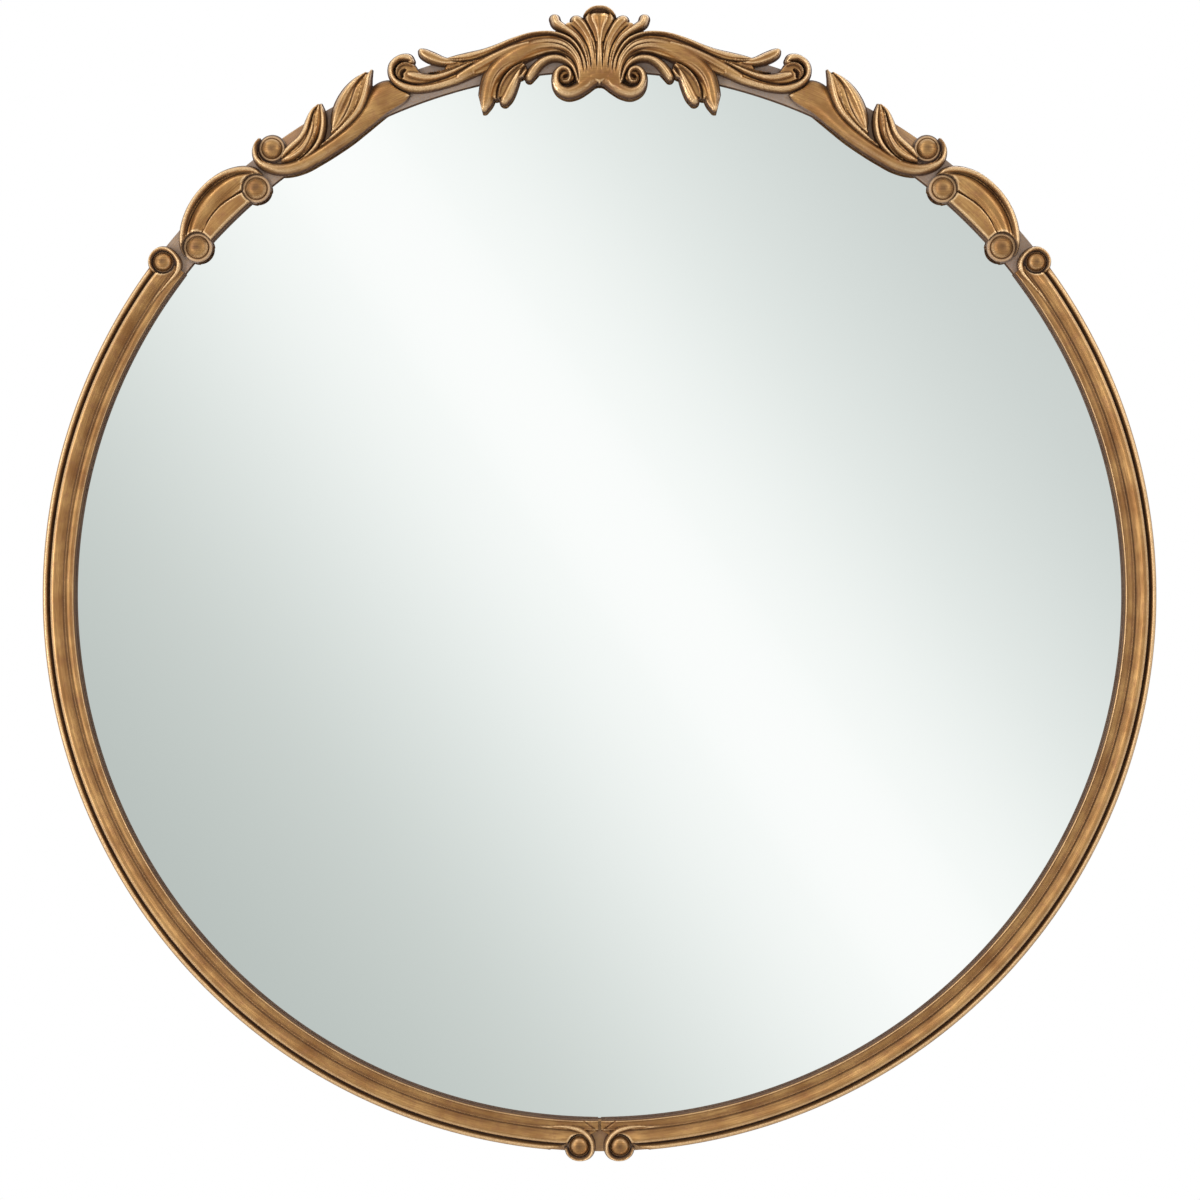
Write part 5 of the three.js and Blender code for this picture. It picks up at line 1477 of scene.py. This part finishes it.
# %% World
SKY_LEVEL = 0.55
bpy.context.scene.view_settings.view_transform = "Standard"
world = bpy.data.worlds.new("studio")
world.use_nodes = True
bpy.context.scene.world = world
sky = world.node_tree
sky.nodes.clear()
rays = add_node(sky, "ShaderNodeLightPath")
seen = rays.outputs["Is Camera Ray"]
for kind in ("Is Glossy Ray", "Is Transmission Ray"):
    seen = add_node(sky, "ShaderNodeMath", {0: seen, 1: rays.outputs[kind]}, operation="MAXIMUM").outputs[0]
dim = add_node(sky, "ShaderNodeBackground", {"Color": linear("#FFFFFF"), "Strength": SKY_LEVEL})
white = add_node(sky, "ShaderNodeBackground", {"Color": linear("#FFFFFF"), "Strength": 1.0})
either = add_node(sky, "ShaderNodeMixShader", {0: seen, 1: dim.outputs[0], 2: white.outputs[0]})
add_node(sky, "ShaderNodeOutputWorld", {0: either.outputs[0]})


print("white for the eye,", SKY_LEVEL, "of it as light")

# %% Lamps
LAMPS = {  # place, what it is aimed at, width and height in metres, power in watts
    "key": ((-1.5, -1.6, 2.0), (0, 0, 0.1), (0.9, 0.6), 15),
    "right_strip": ((1.3, -1.4, 0.8), (0.3, 0, 0.1), (0.3, 0.8), 9),
    "left_strip": ((-1.3, -1.3, 0), (-0.3, 0, 0), (0.3, 1.0), 13),
    "back_fill": ((0.5, 2.6, 1.4), (0, 0, 0), (1.6, 1.6), 22),
}


def soft_box(name, place, aim, size, power):
    data = bpy.data.lights.new(name, "AREA")
    data.shape = "RECTANGLE"
    data.size, data.size_y = size
    data.energy = power
    lamp = bpy.data.objects.new(name, data)
    lamp.location = place
    lamp.rotation_euler = (Vector(aim) - Vector(place)).to_track_quat("-Z", "Y").to_euler()
    bpy.context.collection.objects.link(lamp)


for name, lamp in LAMPS.items():
    soft_box(name, *lamp)
print(len(LAMPS), "soft boxes")

# %% The card behind the camera
CARD_Y = -3.3
CARD_HALF = 1.12
BAND_TURN = math.radians(37)
RAMP_HALF = 1.3  # metres from the card's middle to either end of its ramp
CARD_STOPS = [(0.0, "#B3BAB7"), (0.15, "#BDC4C1"), (0.27, "#CDD3D0"), (0.38, "#E5EAE8"), (0.49, "#FCFEFD"),
              (0.54, "#FFFFFF"), (0.59, "#FCFEFD"), (0.7, "#E6EBE9"), (0.83, "#CDD3D1"), (1.0, "#C4CAC8")]


def card_material():
    material = bpy.data.materials.new("painted_card")
    material.use_nodes = True
    tree = material.node_tree
    tree.nodes.clear()
    place = add_node(tree, "ShaderNodeTexCoord").outputs["Object"]
    turned = add_node(tree, "ShaderNodeMapping", {"Vector": place, "Rotation": (0, BAND_TURN, 0)}).outputs[0]
    over = add_node(tree, "ShaderNodeSeparateXYZ", {0: turned}).outputs["X"]
    share = add_node(tree, "ShaderNodeMapRange", {
        "Value": over, "From Min": -RAMP_HALF, "From Max": RAMP_HALF,
    }).outputs[0]
    ramp = add_node(tree, "ShaderNodeValToRGB", {0: share})
    while len(ramp.color_ramp.elements) < len(CARD_STOPS):
        ramp.color_ramp.elements.new(0.5)
    for element, (position, colour) in zip(ramp.color_ramp.elements, CARD_STOPS):
        element.position = position
        element.color = linear(colour)
    ramp.color_ramp.interpolation = "B_SPLINE"
    glow = add_node(tree, "ShaderNodeEmission", {"Color": ramp.outputs[0], "Strength": 1.0})
    add_node(tree, "ShaderNodeOutputMaterial", {0: glow.outputs[0]})
    return material


CARD_CORNERS = ((-1, -1), (-1, 1), (1, 1), (1, -1))
corners = [(x * CARD_HALF, CARD_Y, z * CARD_HALF) for x, z in CARD_CORNERS]
card_mesh = bpy.data.meshes.new("card")
card_mesh.from_pydata(corners, [], [(0, 1, 2, 3)])
card_mesh.materials.append(card_material())
card = bpy.data.objects.new("card", card_mesh)
bpy.context.collection.objects.link(card)
for kind in ("camera", "diffuse", "transmission", "volume_scatter", "shadow"):
    setattr(card, "visible_" + kind, False)
print("card", 2 * CARD_HALF, "m square,", -CARD_Y, "m in front of the wall")

# %% Floor
FLOOR_Z = -0.78
FLOOR_R = 1.55
FLOOR_THICK = 0.01
floor_rows = [(FLOOR_R, 0), (FLOOR_R, FLOOR_THICK), (0.01, FLOOR_THICK)]
points, faces = turned_mesh(floor_rows, 128, (0, 0, 0), axis_sign=1)
floor_points = np.stack([points[:, 0], -points[:, 2], FLOOR_Z + points[:, 1] - FLOOR_THICK], axis=-1)
floor_material, _, floor_shader = new_material("pale_studio_floor")
floor_shader.inputs["Base Color"].default_value = linear("#EDEBE8")
floor_shader.inputs["Roughness"].default_value = 0.8
floor = closed(mesh_piece("floor", floor_points, faces, floor_material), 30)
print("floor at", FLOOR_Z)
